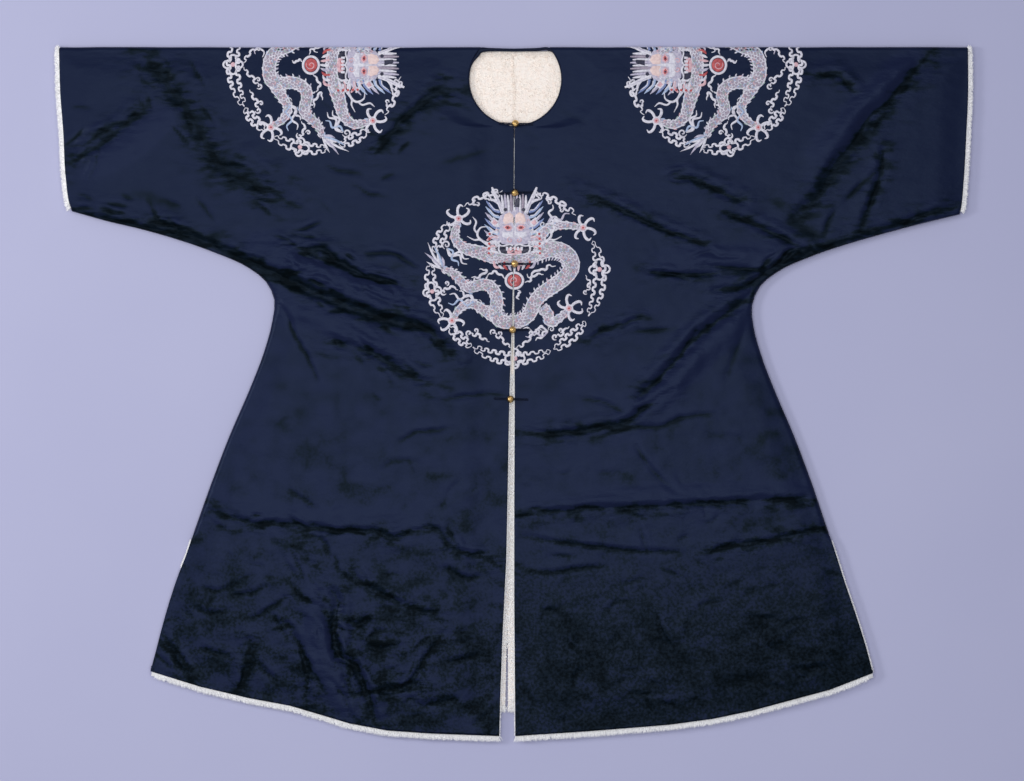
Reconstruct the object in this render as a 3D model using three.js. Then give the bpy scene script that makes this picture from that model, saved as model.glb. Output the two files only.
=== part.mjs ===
// A fur-lined court surcoat, buttoned and laid flat on its back, front up.
//
// It is cut as such a coat is: two lengths of satin, each folded over the shoulder, so that the front, the
// back and the whole sleeve of one half are a single piece. The halves meet at the centre-back seam, and
// close at the centre front with five ball buttons and cord loops. White fleece lines it, and shows in the
// neck, in the front opening and past every open edge. The back and the sides are vented at the hem.
//
// Frame, in millimetres: +X to the wearer's left, +Y to the neck, +Z up from the surface it lies on.
// The tables give places as a tailor does: "out" is the distance from the centre line, and "down" is the
// distance below the shoulder fold.
import * as THREE from "three";

// ---- Driving sizes -------------------------------------------------------------------------------------
const CUFF_OUT = 750; // centre line to the satin's cuff
const HEM_DOWN = 1137; // shoulder fold to the satin's hem at the centre front
const FUR_SHOWS = 8; // fleece past the satin at cuffs and hem
const ORIGIN_DOWN = (HEM_DOWN + FUR_SHOWS) / 2; // the frame's origin is at the middle of the coat's outline

const CLOTH = 1.6; // satin and its interlining
const FLEECE = 5; // fleece, pressed flat
const GAP = 0.3; // between pieces that lie on each other or meet at a seam

const BACK_FLEECE_Z = CLOTH + GAP;
const FRONT_FLEECE_Z = BACK_FLEECE_Z + FLEECE + GAP;
const FRONT_CLOTH_Z = FRONT_FLEECE_Z + FLEECE + GAP;
const STACK = FRONT_CLOTH_Z + CLOTH; // the coat's thickness where it has no fold
const MIDDLE_Z = STACK / 2; // where front and back meet at the side and sleeve seams

const SEAM_ROUND = 10; // how far in from a seam the cloth starts to turn down
const FOLD_RADIUS = STACK / 2; // of the cloth over the shoulder

const NECK = { x: 3, down: 53, radius: 77.5, backEdge: 6.3 };
const BINDING = 3.5; // width of the satin roll round the neck hole
const NECK_FOOT = NECK.down + NECK.radius;

// The outer edge of each half, from the top of the cuff to the corner of the hem, and where the line across
// the cloth from that point starts at the centre front. "closed" is 1 on a seam and 0 on an open edge.
// furOut and furDown move the fleece's edge: out past the cloth where it is open, in from a seam.
const RIGHT_EDGE = [
  { out: CUFF_OUT, down: FOLD_RADIUS, start: FOLD_RADIUS, closed: 0, furOut: FUR_SHOWS, furDown: 0 },
  { out: 748, down: 75, start: 72, closed: 0, furOut: FUR_SHOWS, furDown: 0 },
  { out: 743, down: 140, start: NECK_FOOT, closed: 0, furOut: FUR_SHOWS, furDown: 0 },
  { out: 739, down: 215, start: 215, closed: 0, furOut: FUR_SHOWS, furDown: 0 },
  { out: 733, down: 258, start: 272, closed: 0, furOut: FUR_SHOWS, furDown: -2 },
  { out: 729, down: 271, start: 292, closed: 1, furOut: -6, furDown: -13.5 },
  { out: 672, down: 287, start: 315, closed: 1, furOut: -3, furDown: -9 },
  { out: 613, down: 301, start: 338, closed: 1, furOut: -3, furDown: -9 },
  { out: 554, down: 318, start: 362, closed: 1, furOut: -3, furDown: -9 },
  { out: 494, down: 339, start: 387, closed: 1, furOut: -4, furDown: -9 },
  { out: 435, down: 366, start: 413, closed: 1, furOut: -6, furDown: -8 },
  { out: 409, down: 387, start: 436, closed: 1, furOut: -9, furDown: -4 },
  { out: 395, down: 417, start: 466, closed: 1, furOut: -10, furDown: 0 },
  { out: 398, down: 450, start: 500, closed: 1, furOut: -10, furDown: 0 },
  { out: 412, down: 503, start: 553, closed: 1, furOut: -10, furDown: 0 },
  { out: 435, down: 563, start: 613, closed: 1, furOut: -10, furDown: 0 },
  { out: 469, down: 642, start: 692, closed: 1, furOut: -10, furDown: 0 },
  { out: 499, down: 721, start: 770, closed: 1, furOut: -10, furDown: 0 },
  { out: 527, down: 800, start: 850, closed: 1, furOut: -10, furDown: 0 },
  { out: 532, down: 814, start: 865, closed: 0, furOut: -10, furDown: 0 },
  { out: 538, down: 832, start: 884, closed: 0, furOut: 3, furDown: 0 },
  { out: 556, down: 879, start: 935, closed: 0, furOut: 2, furDown: 0 },
  { out: 576, down: 943, start: 997, closed: 0, furOut: 2, furDown: 0 },
  { out: 591, down: 1000, start: 1068, closed: 0, furOut: 2, furDown: 0 },
  { out: 599, down: 1030, start: HEM_DOWN, closed: 0, furOut: 2, furDown: FUR_SHOWS },
];
const LEFT_EDGE = [
  { out: CUFF_OUT, down: FOLD_RADIUS, start: FOLD_RADIUS, closed: 0, furOut: FUR_SHOWS, furDown: 0 },
  { out: 750, down: 80, start: 72, closed: 0, furOut: FUR_SHOWS, furDown: 0 },
  { out: 747, down: 147, start: NECK_FOOT, closed: 0, furOut: FUR_SHOWS, furDown: 0 },
  { out: 743, down: 219, start: 215, closed: 0, furOut: FUR_SHOWS, furDown: 0 },
  { out: 739, down: 263, start: 272, closed: 0, furOut: FUR_SHOWS, furDown: -2 },
  { out: 737, down: 276, start: 294, closed: 1, furOut: -6, furDown: -13.5 },
  { out: 671, down: 292, start: 316, closed: 1, furOut: -3, furDown: -9 },
  { out: 611, down: 308, start: 340, closed: 1, furOut: -3, furDown: -9 },
  { out: 552, down: 325, start: 364, closed: 1, furOut: -3, furDown: -9 },
  { out: 493, down: 345, start: 389, closed: 1, furOut: -4, furDown: -9 },
  { out: 433, down: 373, start: 416, closed: 1, furOut: -7, furDown: -7 },
  { out: 407, down: 395, start: 438, closed: 1, furOut: -9, furDown: -3 },
  { out: 394, down: 427, start: 468, closed: 1, furOut: -10, furDown: 0 },
  { out: 396, down: 458, start: 500, closed: 1, furOut: -10, furDown: 0 },
  { out: 409, down: 508, start: 553, closed: 1, furOut: -10, furDown: 0 },
  { out: 431, down: 566, start: 613, closed: 1, furOut: -10, furDown: 0 },
  { out: 464, down: 644, start: 692, closed: 1, furOut: -10, furDown: 0 },
  { out: 493, down: 722, start: 770, closed: 1, furOut: -10, furDown: 0 },
  { out: 520, down: 802, start: 850, closed: 1, furOut: -10, furDown: 0 },
  { out: 525, down: 816, start: 865, closed: 0, furOut: -10, furDown: 0 },
  { out: 531, down: 834, start: 884, closed: 0, furOut: 3, furDown: 0 },
  { out: 546, down: 881, start: 935, closed: 0, furOut: 3, furDown: 0 },
  { out: 568, down: 946, start: 997, closed: 0, furOut: 3, furDown: 0 },
  { out: 585, down: 1002, start: 1068, closed: 0, furOut: 3, furDown: 0 },
  { out: 593, down: 1033, start: HEM_DOWN, closed: 0, furOut: 3, furDown: FUR_SHOWS },
];

// How far the hem hangs below a straight line from the centre front to its corner, by share of the way out.
const RIGHT_HEM = [
  { share: 0, sag: 0 },
  { share: 0.2, sag: 17 },
  { share: 0.32, sag: 25 },
  { share: 0.43, sag: 25 },
  { share: 0.49, sag: 21 },
  { share: 0.6, sag: 14 },
  { share: 0.72, sag: 14 },
  { share: 0.86, sag: 10 },
  { share: 1, sag: 0 },
];
const LEFT_HEM = [
  { share: 0, sag: 0 },
  { share: 0.2, sag: 13 },
  { share: 0.43, sag: 26 },
  { share: 0.55, sag: 29 },
  { share: 0.66, sag: 27 },
  { share: 0.77, sag: 21 },
  { share: 0.88, sag: 15 },
  { share: 1, sag: 0 },
];

// The two front edges, as x at a distance down: buttoned close at the top, apart below the last button.
const RIGHT_FRONT = [
  { down: 0, x: 1.2 },
  { down: 241, x: -0.5 },
  { down: 467, x: -3.5 },
  { down: 581, x: -7 },
  { down: 747, x: -10 },
  { down: 846, x: -12 },
  { down: 978, x: -18.5 },
  { down: 1077, x: -22 },
  { down: HEM_DOWN, x: -23.5 },
];
const LEFT_FRONT = [
  { down: 0, x: 2.8 },
  { down: 241, x: 1.2 },
  { down: 467, x: 1.2 },
  { down: 581, x: 2 },
  { down: 747, x: 1.2 },
  { down: 912, x: 1.2 },
  { down: HEM_DOWN, x: 3 },
];

// The centre-back line, which lies a little askew under the fronts, and half the gap along it: a seam down
// to the back vent, then the vent. The back hem is shorter than the front's, so that the fronts hide it.
const CENTRE_BACK = [
  { down: 0, x: 0, half: GAP / 2 },
  { down: 800, x: -6, half: GAP / 2 },
  { down: 960, x: -10, half: GAP / 2 },
  { down: 1000, x: -10.5, half: 1.5 },
  { down: 1100, x: -11.5, half: 2.5 },
];
const BACK_HEM = { centre: 1089, sag: 10 };

// The largest folds of the front. Each runs from one place via another to a third; its width is from the
// crest to where it has almost died away, and a negative height is a trough.
const FOLDS = [
  // Drag folds out of the wearer's right armpit, across the chest.
  { fromX: -435, fromDown: 355, viaX: -286, viaDown: 424, toX: -100, toDown: 500, width: 20, height: -7 },
  { fromX: -420, fromDown: 325, viaX: -286, viaDown: 384, toX: -150, toDown: 425, width: 22, height: 6 },
  { fromX: -352, fromDown: 338, viaX: -290, viaDown: 350, toX: -194, toDown: 391, width: 17, height: -5 },
  { fromX: -400, fromDown: 420, viaX: -290, viaDown: 462, toX: -165, toDown: 505, width: 22, height: 5 },
  { fromX: -311, fromDown: 487, viaX: -209, viaDown: 520, toX: -128, toDown: 559, width: 22, height: -4 },
  { fromX: -395, fromDown: 411, viaX: -364, viaDown: 470, toX: -323, toDown: 551, width: 17, height: -3 },
  // The wearer's right skirt: a crease across, and the soft folds that run down to the hem.
  { fromX: -511, fromDown: 764, viaX: -322, viaDown: 795, toX: -125, toDown: 795, width: 18, height: -5 },
  { fromX: -125, fromDown: 797, viaX: -70, viaDown: 830, toX: -34, toDown: 850, width: 18, height: -4 },
  { fromX: -298, fromDown: 880, viaX: -285, viaDown: 990, toX: -232, toDown: 1100, width: 20, height: -6 },
  { fromX: -330, fromDown: 880, viaX: -318, viaDown: 990, toX: -272, toDown: 1100, width: 22, height: 6 },
  { fromX: -382, fromDown: 925, viaX: -358, viaDown: 1010, toX: -344, toDown: 1090, width: 18, height: -4 },
  { fromX: -270, fromDown: 860, viaX: -190, viaDown: 915, toX: -123, toDown: 937, width: 18, height: -4 },
  // The wearer's right sleeve.
  { fromX: -610, fromDown: 15, viaX: -510, viaDown: 160, toX: -385, toDown: 243, width: 28, height: -5 },
  { fromX: -735, fromDown: 167, viaX: -672, viaDown: 127, toX: -603, toDown: 95, width: 20, height: 4 },
  // Drag folds out of the wearer's left armpit.
  { fromX: 400, fromDown: 401, viaX: 305, viaDown: 478, toX: 209, toDown: 576, width: 20, height: -7 },
  { fromX: 385, fromDown: 446, viaX: 305, viaDown: 512, toX: 225, toDown: 600, width: 22, height: 5 },
  { fromX: 262, fromDown: 568, viaX: 149, viaDown: 627, toX: 20, toDown: 637, width: 18, height: -5 },
  { fromX: 100, fromDown: 240, viaX: 225, viaDown: 291, toX: 372, toDown: 347, width: 18, height: -4 },
  { fromX: 265, fromDown: 214, viaX: 385, viaDown: 286, toX: 489, toDown: 338, width: 20, height: -5 },
  { fromX: 212, fromDown: 370, viaX: 331, viaDown: 378, toX: 420, toDown: 368, width: 18, height: -5 },
  // The wearer's left skirt: long creases across, where it has been folded away.
  { fromX: 8, fromDown: 775, viaX: 214, viaDown: 759, toX: 497, toDown: 746, width: 18, height: -5 },
  { fromX: 12, fromDown: 808, viaX: 149, viaDown: 827, toX: 270, toDown: 833, width: 18, height: -4 },
  { fromX: 321, fromDown: 830, viaX: 430, viaDown: 812, toX: 514, toDown: 795, width: 18, height: -4 },
  // The wearer's left sleeve.
  { fromX: 690, fromDown: 8, viaX: 620, viaDown: 88, toX: 473, toDown: 269, width: 24, height: -6 },
  { fromX: 611, fromDown: 150, viaX: 592, viaDown: 230, toX: 572, toDown: 305, width: 18, height: -4 },
];
const LOFT = 4; // of the cloth over the fleece, away from its edges
const LOFT_RISES_IN = 50;
const PLACKET = 34; // flat band along the front edge and round the neck, which carries the fastenings

// Ball buttons on the wearer's right edge, with cord loops on the left.
const BUTTON_DOWN = [127, 241, 358, 467, 581];
const BALL_RADIUS = 6;
const SHANK_RADIUS = 1.3;
const CORD = { width: 3.6, height: 2.2, tail: 27, reach: 29, eye: 1.7 };
const CORD_Z = STACK + GAP;

const SATIN = new THREE.MeshStandardMaterial({ color: 0x1c2140, roughness: 0.5, metalness: 0 });
const FUR = new THREE.MeshStandardMaterial({ color: 0xe9e5df, roughness: 0.95, metalness: 0 });
const BRASS = new THREE.MeshStandardMaterial({ color: 0xd9a048, roughness: 0.3, metalness: 1 });
const CORDING = new THREE.MeshStandardMaterial({ color: 0x141830, roughness: 0.65, metalness: 0 });

// ---- Reading the tables --------------------------------------------------------------------------------
const mix = (a, b, t) => a + (b - a) * t;
const clamp01 = (t) => Math.min(1, Math.max(0, t));
const smooth = (t) => clamp01(t) ** 2 * (3 - 2 * clamp01(t));

// The value of one column of a table at a value of another, which rises down the rows.
function lookUp(table, by, at, column) {
  const next = Math.max(1, table.findIndex((row) => row[by] >= at));
  const below = at >= table.at(-1)[by] ? table.at(-1) : table[next];
  const above = table[next - 1];
  const span = below[by] - above[by];
  return span > 0 ? mix(above[column], below[column], clamp01((at - above[by]) / span)) : below[column];
}

// The whole row of an edge table at a place between two of its rows, counted in rows. The first lines
// start round the neck hole, at even turns.
const NECK_ROWS = 2;
const NECK_TOP_TURN = Math.asin((FOLD_RADIUS - NECK.down) / NECK.radius);

function rowAt(table, place) {
  const i = Math.min(table.length - 2, Math.floor(place));
  const row = {};
  for (const column of Object.keys(table[i])) {
    row[column] = mix(table[i][column], table[i + 1][column], place - i);
  }
  if (place < NECK_ROWS) {
    row.start = NECK.down + NECK.radius * Math.sin(mix(NECK_TOP_TURN, Math.PI / 2, place / NECK_ROWS));
  }
  return row;
}

// The points that a fold's line runs through.
const FOLD_STEPS = 8;
const FOLD_LINES = FOLDS.map((fold) => {
  const bow = (from, via, to) => 2 * via - (from + to) / 2;
  const bowX = bow(fold.fromX, fold.viaX, fold.toX);
  const bowDown = bow(fold.fromDown, fold.viaDown, fold.toDown);
  const along = (from, via, to, t) => mix(mix(from, via, t), mix(via, to, t), t);
  return Array.from({ length: FOLD_STEPS + 1 }, (_, i) => ({
    x: along(fold.fromX, bowX, fold.toX, i / FOLD_STEPS),
    down: along(fold.fromDown, bowDown, fold.toDown, i / FOLD_STEPS),
  }));
});

// Height that the folds give the front at a place.
function foldHeight(x, down) {
  let height = 0;
  FOLDS.forEach((fold, n) => {
    let nearest = Infinity;
    let along = 0;
    for (let i = 0; i < FOLD_STEPS; i += 1) {
      const a = FOLD_LINES[n][i];
      const b = FOLD_LINES[n][i + 1];
      const run = (b.x - a.x) ** 2 + (b.down - a.down) ** 2;
      const share = clamp01(((x - a.x) * (b.x - a.x) + (down - a.down) * (b.down - a.down)) / run);
      const distance = Math.hypot(x - mix(a.x, b.x, share), down - mix(a.down, b.down, share));
      if (distance < nearest) {
        nearest = distance;
        along = (i + share) / FOLD_STEPS;
      }
    }
    const taper = Math.sqrt(Math.sin(Math.PI * mix(0.06, 0.94, along)));
    height += fold.height * taper * Math.exp(-((nearest / fold.width) ** 2));
  });
  return height;
}

// The places, in rows of an edge table, that a grid steps through: each table row, and steps between them.
function placesOf(table, steps) {
  const places = [];
  for (let i = 0; i < table.length - 1; i += 1) {
    for (let s = 0; s < steps(i); s += 1) {
      places.push(i + s / steps(i));
    }
  }
  return [...places, table.length - 1];
}

// ---- Closed walls from two grids -----------------------------------------------------------------------
const point = (x, down, z) => new THREE.Vector3(x, ORIGIN_DOWN - down, z);

// A closed solid between two grids of points with the same rows and columns.
function wall(outside, inside) {
  const rows = outside.length;
  const columns = outside[0].length;
  const points = [...outside.flat(), ...inside.flat()];
  const at = (face, r, c) => face * rows * columns + r * columns + c;
  const triangles = [];
  const quad = (a, b, c, d) => triangles.push([a, b, c], [a, c, d]);
  for (let r = 0; r < rows - 1; r += 1) {
    for (let c = 0; c < columns - 1; c += 1) {
      quad(at(0, r, c), at(0, r, c + 1), at(0, r + 1, c + 1), at(0, r + 1, c));
      quad(at(1, r, c), at(1, r + 1, c), at(1, r + 1, c + 1), at(1, r, c + 1));
    }
  }
  for (let r = 0; r < rows - 1; r += 1) {
    quad(at(0, r, 0), at(0, r + 1, 0), at(1, r + 1, 0), at(1, r, 0));
    quad(at(0, r + 1, columns - 1), at(0, r, columns - 1), at(1, r, columns - 1), at(1, r + 1, columns - 1));
  }
  for (let c = 0; c < columns - 1; c += 1) {
    quad(at(0, 0, c + 1), at(0, 0, c), at(1, 0, c), at(1, 0, c + 1));
    quad(at(0, rows - 1, c), at(0, rows - 1, c + 1), at(1, rows - 1, c + 1), at(1, rows - 1, c));
  }
  const volume = triangles.reduce((sum, [a, b, c]) => {
    return sum + points[a].dot(new THREE.Vector3().crossVectors(points[b], points[c])) / 6;
  }, 0);
  const facing = volume < 0 ? triangles.map(([a, b, c]) => [a, c, b]) : triangles;
  const geometry = new THREE.BufferGeometry().setFromPoints(points);
  geometry.setIndex(facing.flat());
  geometry.computeVertexNormals();
  return geometry;
}

function named(name, geometry, material) {
  const mesh = new THREE.Mesh(geometry, material);
  mesh.name = name;
  return mesh;
}

// ---- One half of the coat ------------------------------------------------------------------------------
const HALVES = [
  { name: "right", sign: -1, edge: RIGHT_EDGE, hem: RIGHT_HEM, front: RIGHT_FRONT },
  { name: "left", sign: 1, edge: LEFT_EDGE, hem: LEFT_HEM, front: LEFT_FRONT },
];

const FLEECE_AT_NECK = 2; // how far the fleece stops short of the neck hole, under the cloth

function neckX(half, down, more = 0) {
  const rise = (NECK.radius + more) ** 2 - (down - NECK.down) ** 2;
  return NECK.x + half.sign * Math.sqrt(Math.max(0, rise));
}

// Where the front starts at a distance down: at the neck hole, and below it at the front edge.
function frontStart(half, down, fur) {
  const edge = lookUp(half.front, "down", down, "x");
  const neck = neckX(half, down, fur * FLEECE_AT_NECK);
  if (down >= NECK_FOOT + fur * FLEECE_AT_NECK) {
    return edge;
  }
  return half.sign > 0 ? Math.max(neck, edge) : Math.min(neck, edge);
}

function backStart(half, down) {
  const seam = lookUp(CENTRE_BACK, "down", down, "x");
  return seam + half.sign * lookUp(CENTRE_BACK, "down", down, "half");
}

// A line across one face of a half, from its start at the centre to the outer edge.
// "fur" is 1 for the fleece, whose edge is moved by the table, and 0 for the cloth.
function lineAcross(half, place, face, fur) {
  const row = rowAt(half.edge, place);
  const skirt = smooth((row.down - 417) / (1030 - 417)) ** 1.5;
  const isFront = face === "front";
  const start = isFront ? row.start : mix(row.start, (row.start * BACK_HEM.centre) / HEM_DOWN, skirt);
  const hemFur = fur * FUR_SHOWS * smooth((row.down - 990) / 40);
  const startDown = start + hemFur;
  const startX = isFront ? frontStart(half, start, fur) : backStart(half, startDown);
  const endX = half.sign * (row.out + fur * row.furOut);
  const endDown = row.down + fur * row.furDown - (isFront ? 0 : 3 * skirt);
  const calm = isFront ? mix(1, 0.25, smooth((start - HEM_DOWN + 90) / 90)) : 0;
  return { startX, startDown, endX, endDown, skirt, calm, closed: row.closed };
}

// The point at a share of the way along such a line, as x and down.
function alongLine(half, line, share, face) {
  const backSag = BACK_HEM.sag * Math.sin(Math.PI * share);
  const sag = face === "front" ? lookUp(half.hem, "share", share, "sag") : backSag;
  return {
    x: mix(line.startX, line.endX, share),
    down: mix(line.startDown, line.endDown, share) + sag * line.skirt,
  };
}

// Shares of the way across: even over most of it, then the few points of the turn at the outer seam.
const TURN_ANGLES = [90, 62, 34, 0].map(THREE.MathUtils.degToRad);

function clothRow(half, line, face, side, inner) {
  const length = Math.hypot(line.endX - line.startX, line.endDown - line.startDown);
  const shares = inner.map((share) => ({ share: share * (1 - SEAM_ROUND / length), turn: Math.PI / 2 }));
  for (const turn of TURN_ANGLES) {
    const thickness = side === "inside" ? CLOTH * line.closed : 0;
    const fromEdge = thickness + (SEAM_ROUND - thickness) * (1 - Math.cos(turn));
    shares.push({ share: 1 - fromEdge / length, turn });
  }
  return shares.map(({ share, turn }) => {
    const { x, down } = alongLine(half, line, share, face);
    const fromEdges = Math.min(share * length - PLACKET, (1 - share) * length, down - FOLD_RADIUS);
    const rise = line.calm * smooth(fromEdges / LOFT_RISES_IN);
    const lift = rise > 0 ? rise * Math.max(0, LOFT + foldHeight(x, down)) : 0;
    const isUpper = (face === "front") === (side === "outside");
    const flat = (face === "front" ? FRONT_CLOTH_Z : 0) + (isUpper ? CLOTH : 0) + lift;
    const meet = MIDDLE_Z + (face === "front" ? GAP / 2 : -GAP / 2);
    return point(x, down, mix(flat, mix(meet, flat, Math.sin(turn)), line.closed));
  });
}

// The rows that carry the cloth over the shoulder, from the front to the back.
function shoulderRows(half, side, inner) {
  const radius = side === "outside" ? FOLD_RADIUS : FOLD_RADIUS - CLOTH;
  const front = lineAcross(half, 0, "front", 0);
  return [60, 30, 0, -30, -60].map(THREE.MathUtils.degToRad).map((angle) => {
    const down = FOLD_RADIUS - radius * Math.cos(angle);
    const startX = neckX(half, angle >= 0 ? down : 0);
    const line = { ...front, startX, startDown: down, endDown: down };
    return clothRow(half, line, "front", side, inner).map((p) => {
      return new THREE.Vector3(p.x, ORIGIN_DOWN - down, MIDDLE_Z + radius * Math.sin(angle));
    });
  });
}

const ACROSS = [0, 0.06, 0.13, 0.2, 0.27, 0.34, 0.41, 0.48, 0.56, 0.64, 0.72, 0.8, 0.88];
const FRONT_STEPS = (i) => (i < NECK_ROWS ? 6 : i < 4 || (i > 13 && i < 18) || i > 19 ? 2 : 1);
const BACK_STEPS = () => 1;

function satinHalf(half) {
  const frontPlaces = placesOf(half.edge, FRONT_STEPS).reverse();
  const backPlaces = placesOf(half.edge, BACK_STEPS);
  const faces = ["outside", "inside"].map((side) => [
    ...frontPlaces.map((place) => clothRow(half, lineAcross(half, place, "front", 0), "front", side, ACROSS)),
    ...shoulderRows(half, side, ACROSS),
    ...backPlaces.map((place) => clothRow(half, lineAcross(half, place, "back", 0), "back", side, ACROSS)),
  ]);
  return named(`satin_${half.name}`, wall(...faces), SATIN);
}

// The fleece of one face of one half: a flat pelt, inside the cloth at seams and past it at open edges.
const FLEECE_ACROSS = [0, 0.2, 0.43, 0.7, 1];
const FLEECE_STEPS = { front: (i) => (i < NECK_ROWS ? 4 : 1), back: () => 1 };

function fleecePanel(half, face) {
  const z = face === "front" ? FRONT_FLEECE_Z : BACK_FLEECE_Z;
  const grid = (height) => placesOf(half.edge, FLEECE_STEPS[face]).map((place) => {
    const line = lineAcross(half, place, face, 1);
    return FLEECE_ACROSS.map((share) => {
      const { x, down } = alongLine(half, line, share, face);
      return point(x, down, z + height);
    });
  });
  return named(`fleece_${face}_${half.name}`, wall(grid(FLEECE), grid(0)), FUR);
}

// ---- Neck binding --------------------------------------------------------------------------------------
// A satin roll that edges the neck hole: round the fronts from one side of the opening to the other, and
// straight across the back of the neck.
function neckBinding() {
  const outerRadius = NECK.radius - 2 * GAP;
  const innerRadius = outerRadius - BINDING;
  const opening = 0.06; // half the angle left open at the centre front
  const cut = (radius, down) => Math.acos((NECK.down - down) / radius);
  const outline = new THREE.Shape();
  const middle = ORIGIN_DOWN - NECK.down;
  const at = (radius, turn) => [NECK.x + radius * Math.sin(turn), middle - radius * Math.cos(turn)];
  const backTop = 0.5;
  const outerEnd = Math.PI - cut(outerRadius, backTop);
  const innerEnd = Math.PI - cut(innerRadius, NECK.backEdge);
  const STEPS = 20;
  const arc = (radius, from, to) => {
    for (let i = 0; i <= STEPS; i += 1) {
      const [x, y] = at(radius, mix(from, to, i / STEPS));
      if (outline.currentPoint.x === 0 && outline.curves.length === 0 && i === 0) {
        outline.moveTo(x, y);
      } else {
        outline.lineTo(x, y);
      }
    }
  };
  arc(outerRadius, opening, outerEnd);
  arc(outerRadius, 2 * Math.PI - outerEnd, 2 * Math.PI - opening);
  arc(innerRadius, 2 * Math.PI - opening, 2 * Math.PI - innerEnd);
  arc(innerRadius, innerEnd, opening);
  const bottom = BACK_FLEECE_Z + FLEECE + GAP;
  const geometry = new THREE.ExtrudeGeometry(outline, { depth: STACK - bottom, bevelEnabled: false });
  geometry.translate(0, 0, bottom);
  return named("neck_binding", geometry, SATIN);
}

// ---- Buttons, tails and loops --------------------------------------------------------------------------
// A ball with its shank, turned on the vertical.
function ballButton(x, down) {
  const ballZ = CORD_Z + CORD.height + GAP + BALL_RADIUS;
  const SEGMENTS = 14;
  const LATITUDES = 7;
  const profile = [new THREE.Vector2(0, CORD_Z), new THREE.Vector2(SHANK_RADIUS, CORD_Z)];
  const first = Math.asin(SHANK_RADIUS / BALL_RADIUS);
  for (let i = 0; i <= LATITUDES; i += 1) {
    const angle = mix(first, Math.PI, i / LATITUDES);
    const radius = i === LATITUDES ? 0 : BALL_RADIUS * Math.sin(angle);
    profile.push(new THREE.Vector2(radius, ballZ - BALL_RADIUS * Math.cos(angle)));
  }
  const geometry = new THREE.LatheGeometry(profile, SEGMENTS);
  geometry.rotateX(Math.PI / 2);
  geometry.translate(x, ORIGIN_DOWN - down, 0);
  return geometry;
}

// A flat cord lying on the front, cut to an outline and with its top edges eased.
function flatCord(outline, x, down) {
  const ease = 0.5;
  const geometry = new THREE.ExtrudeGeometry(outline, {
    depth: CORD.height - 2 * ease,
    bevelThickness: ease,
    bevelSize: ease,
    bevelOffset: -ease,
    bevelSegments: 1,
    curveSegments: 4,
  });
  geometry.translate(x, ORIGIN_DOWN - down, CORD_Z + ease);
  return geometry;
}

// The tail that holds the button: a doubled cord with a round end, stopping short of the loop's eye.
function tailOutline() {
  const half = CORD.width / 2;
  const near = -(CORD.eye + 2 + GAP);
  const outline = new THREE.Shape();
  outline.moveTo(near, half);
  outline.lineTo(-CORD.tail, half);
  outline.absarc(-CORD.tail, 0, half, Math.PI / 2, (3 * Math.PI) / 2, false);
  outline.lineTo(near, -half);
  outline.closePath();
  return outline;
}

// The loop: a doubled cord that opens into an eye round the button's shank.
function loopOutline() {
  const half = CORD.width / 2;
  const eyeOutside = CORD.eye + 2;
  const turn = Math.asin(half / eyeOutside);
  const outline = new THREE.Shape();
  outline.absarc(0, 0, eyeOutside, turn, 2 * Math.PI - turn, false);
  outline.lineTo(CORD.reach, -half);
  outline.absarc(CORD.reach, 0, half, -Math.PI / 2, Math.PI / 2, false);
  outline.closePath();
  const eye = new THREE.Path();
  eye.absarc(0, 0, CORD.eye, 0, 2 * Math.PI, true);
  outline.holes.push(eye);
  return outline;
}

function fastenings() {
  return BUTTON_DOWN.flatMap((down, i) => {
    const x = lookUp(RIGHT_FRONT, "down", down, "x") + 2;
    const n = i + 1;
    return [
      named(`button_${n}`, ballButton(x, down), BRASS),
      named(`tail_${n}`, flatCord(tailOutline(), x, down), CORDING),
      named(`loop_${n}`, flatCord(loopOutline(), x, down), CORDING),
    ];
  });
}

const surcoat = new THREE.Group();
surcoat.name = "court_surcoat";
for (const half of HALVES) {
  surcoat.add(satinHalf(half), fleecePanel(half, "front"), fleecePanel(half, "back"));
}
surcoat.add(neckBinding(), ...fastenings());

export default surcoat;
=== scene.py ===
"""Looks of the court surcoat: satin with its creases, fleece, embroidered roundels, buttons and cords.

Lengths are in millimetres, as in the part's own source, until mesh() writes them in metres. "down" is the
distance below the shoulder fold, "out" the distance from the centre line, and x is positive to the wearer's
left. A sign of -1 stands for the wearer's right half and a sign of 1 for the left one.
"""

import math

import bpy
import numpy as np
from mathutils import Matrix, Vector
from mathutils.bvhtree import BVHTree


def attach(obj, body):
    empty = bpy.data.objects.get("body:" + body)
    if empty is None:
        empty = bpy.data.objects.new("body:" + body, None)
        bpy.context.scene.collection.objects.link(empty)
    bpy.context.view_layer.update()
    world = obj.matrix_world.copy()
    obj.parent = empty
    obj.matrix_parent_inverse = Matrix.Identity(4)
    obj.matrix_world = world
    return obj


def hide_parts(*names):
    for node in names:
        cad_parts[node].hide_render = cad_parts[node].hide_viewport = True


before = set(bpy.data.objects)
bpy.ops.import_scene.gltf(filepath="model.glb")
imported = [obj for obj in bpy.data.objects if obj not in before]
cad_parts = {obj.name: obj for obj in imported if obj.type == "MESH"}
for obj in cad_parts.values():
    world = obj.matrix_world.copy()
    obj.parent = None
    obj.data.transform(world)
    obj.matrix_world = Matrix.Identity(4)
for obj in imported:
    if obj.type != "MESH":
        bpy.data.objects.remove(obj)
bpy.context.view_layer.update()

# ---- Camera, straight down ------------------------------------------------------------------------------
SCALE = 1.65  # mm a pixel at the coat's surface
IMAGE_WIDTH = 1024
CAMERA_AT = (-0.0025, 0.0057, 6.0)  # in m
SURFACE = 0.013  # height of the coat's front, in m
SENSOR = 36
cam = bpy.data.cameras.new("camera")
cam.sensor_width = SENSOR
cam.lens = SENSOR * (CAMERA_AT[2] - SURFACE) / (IMAGE_WIDTH * SCALE / 1000)
cam_object = bpy.data.objects.new("camera", cam)
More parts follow.
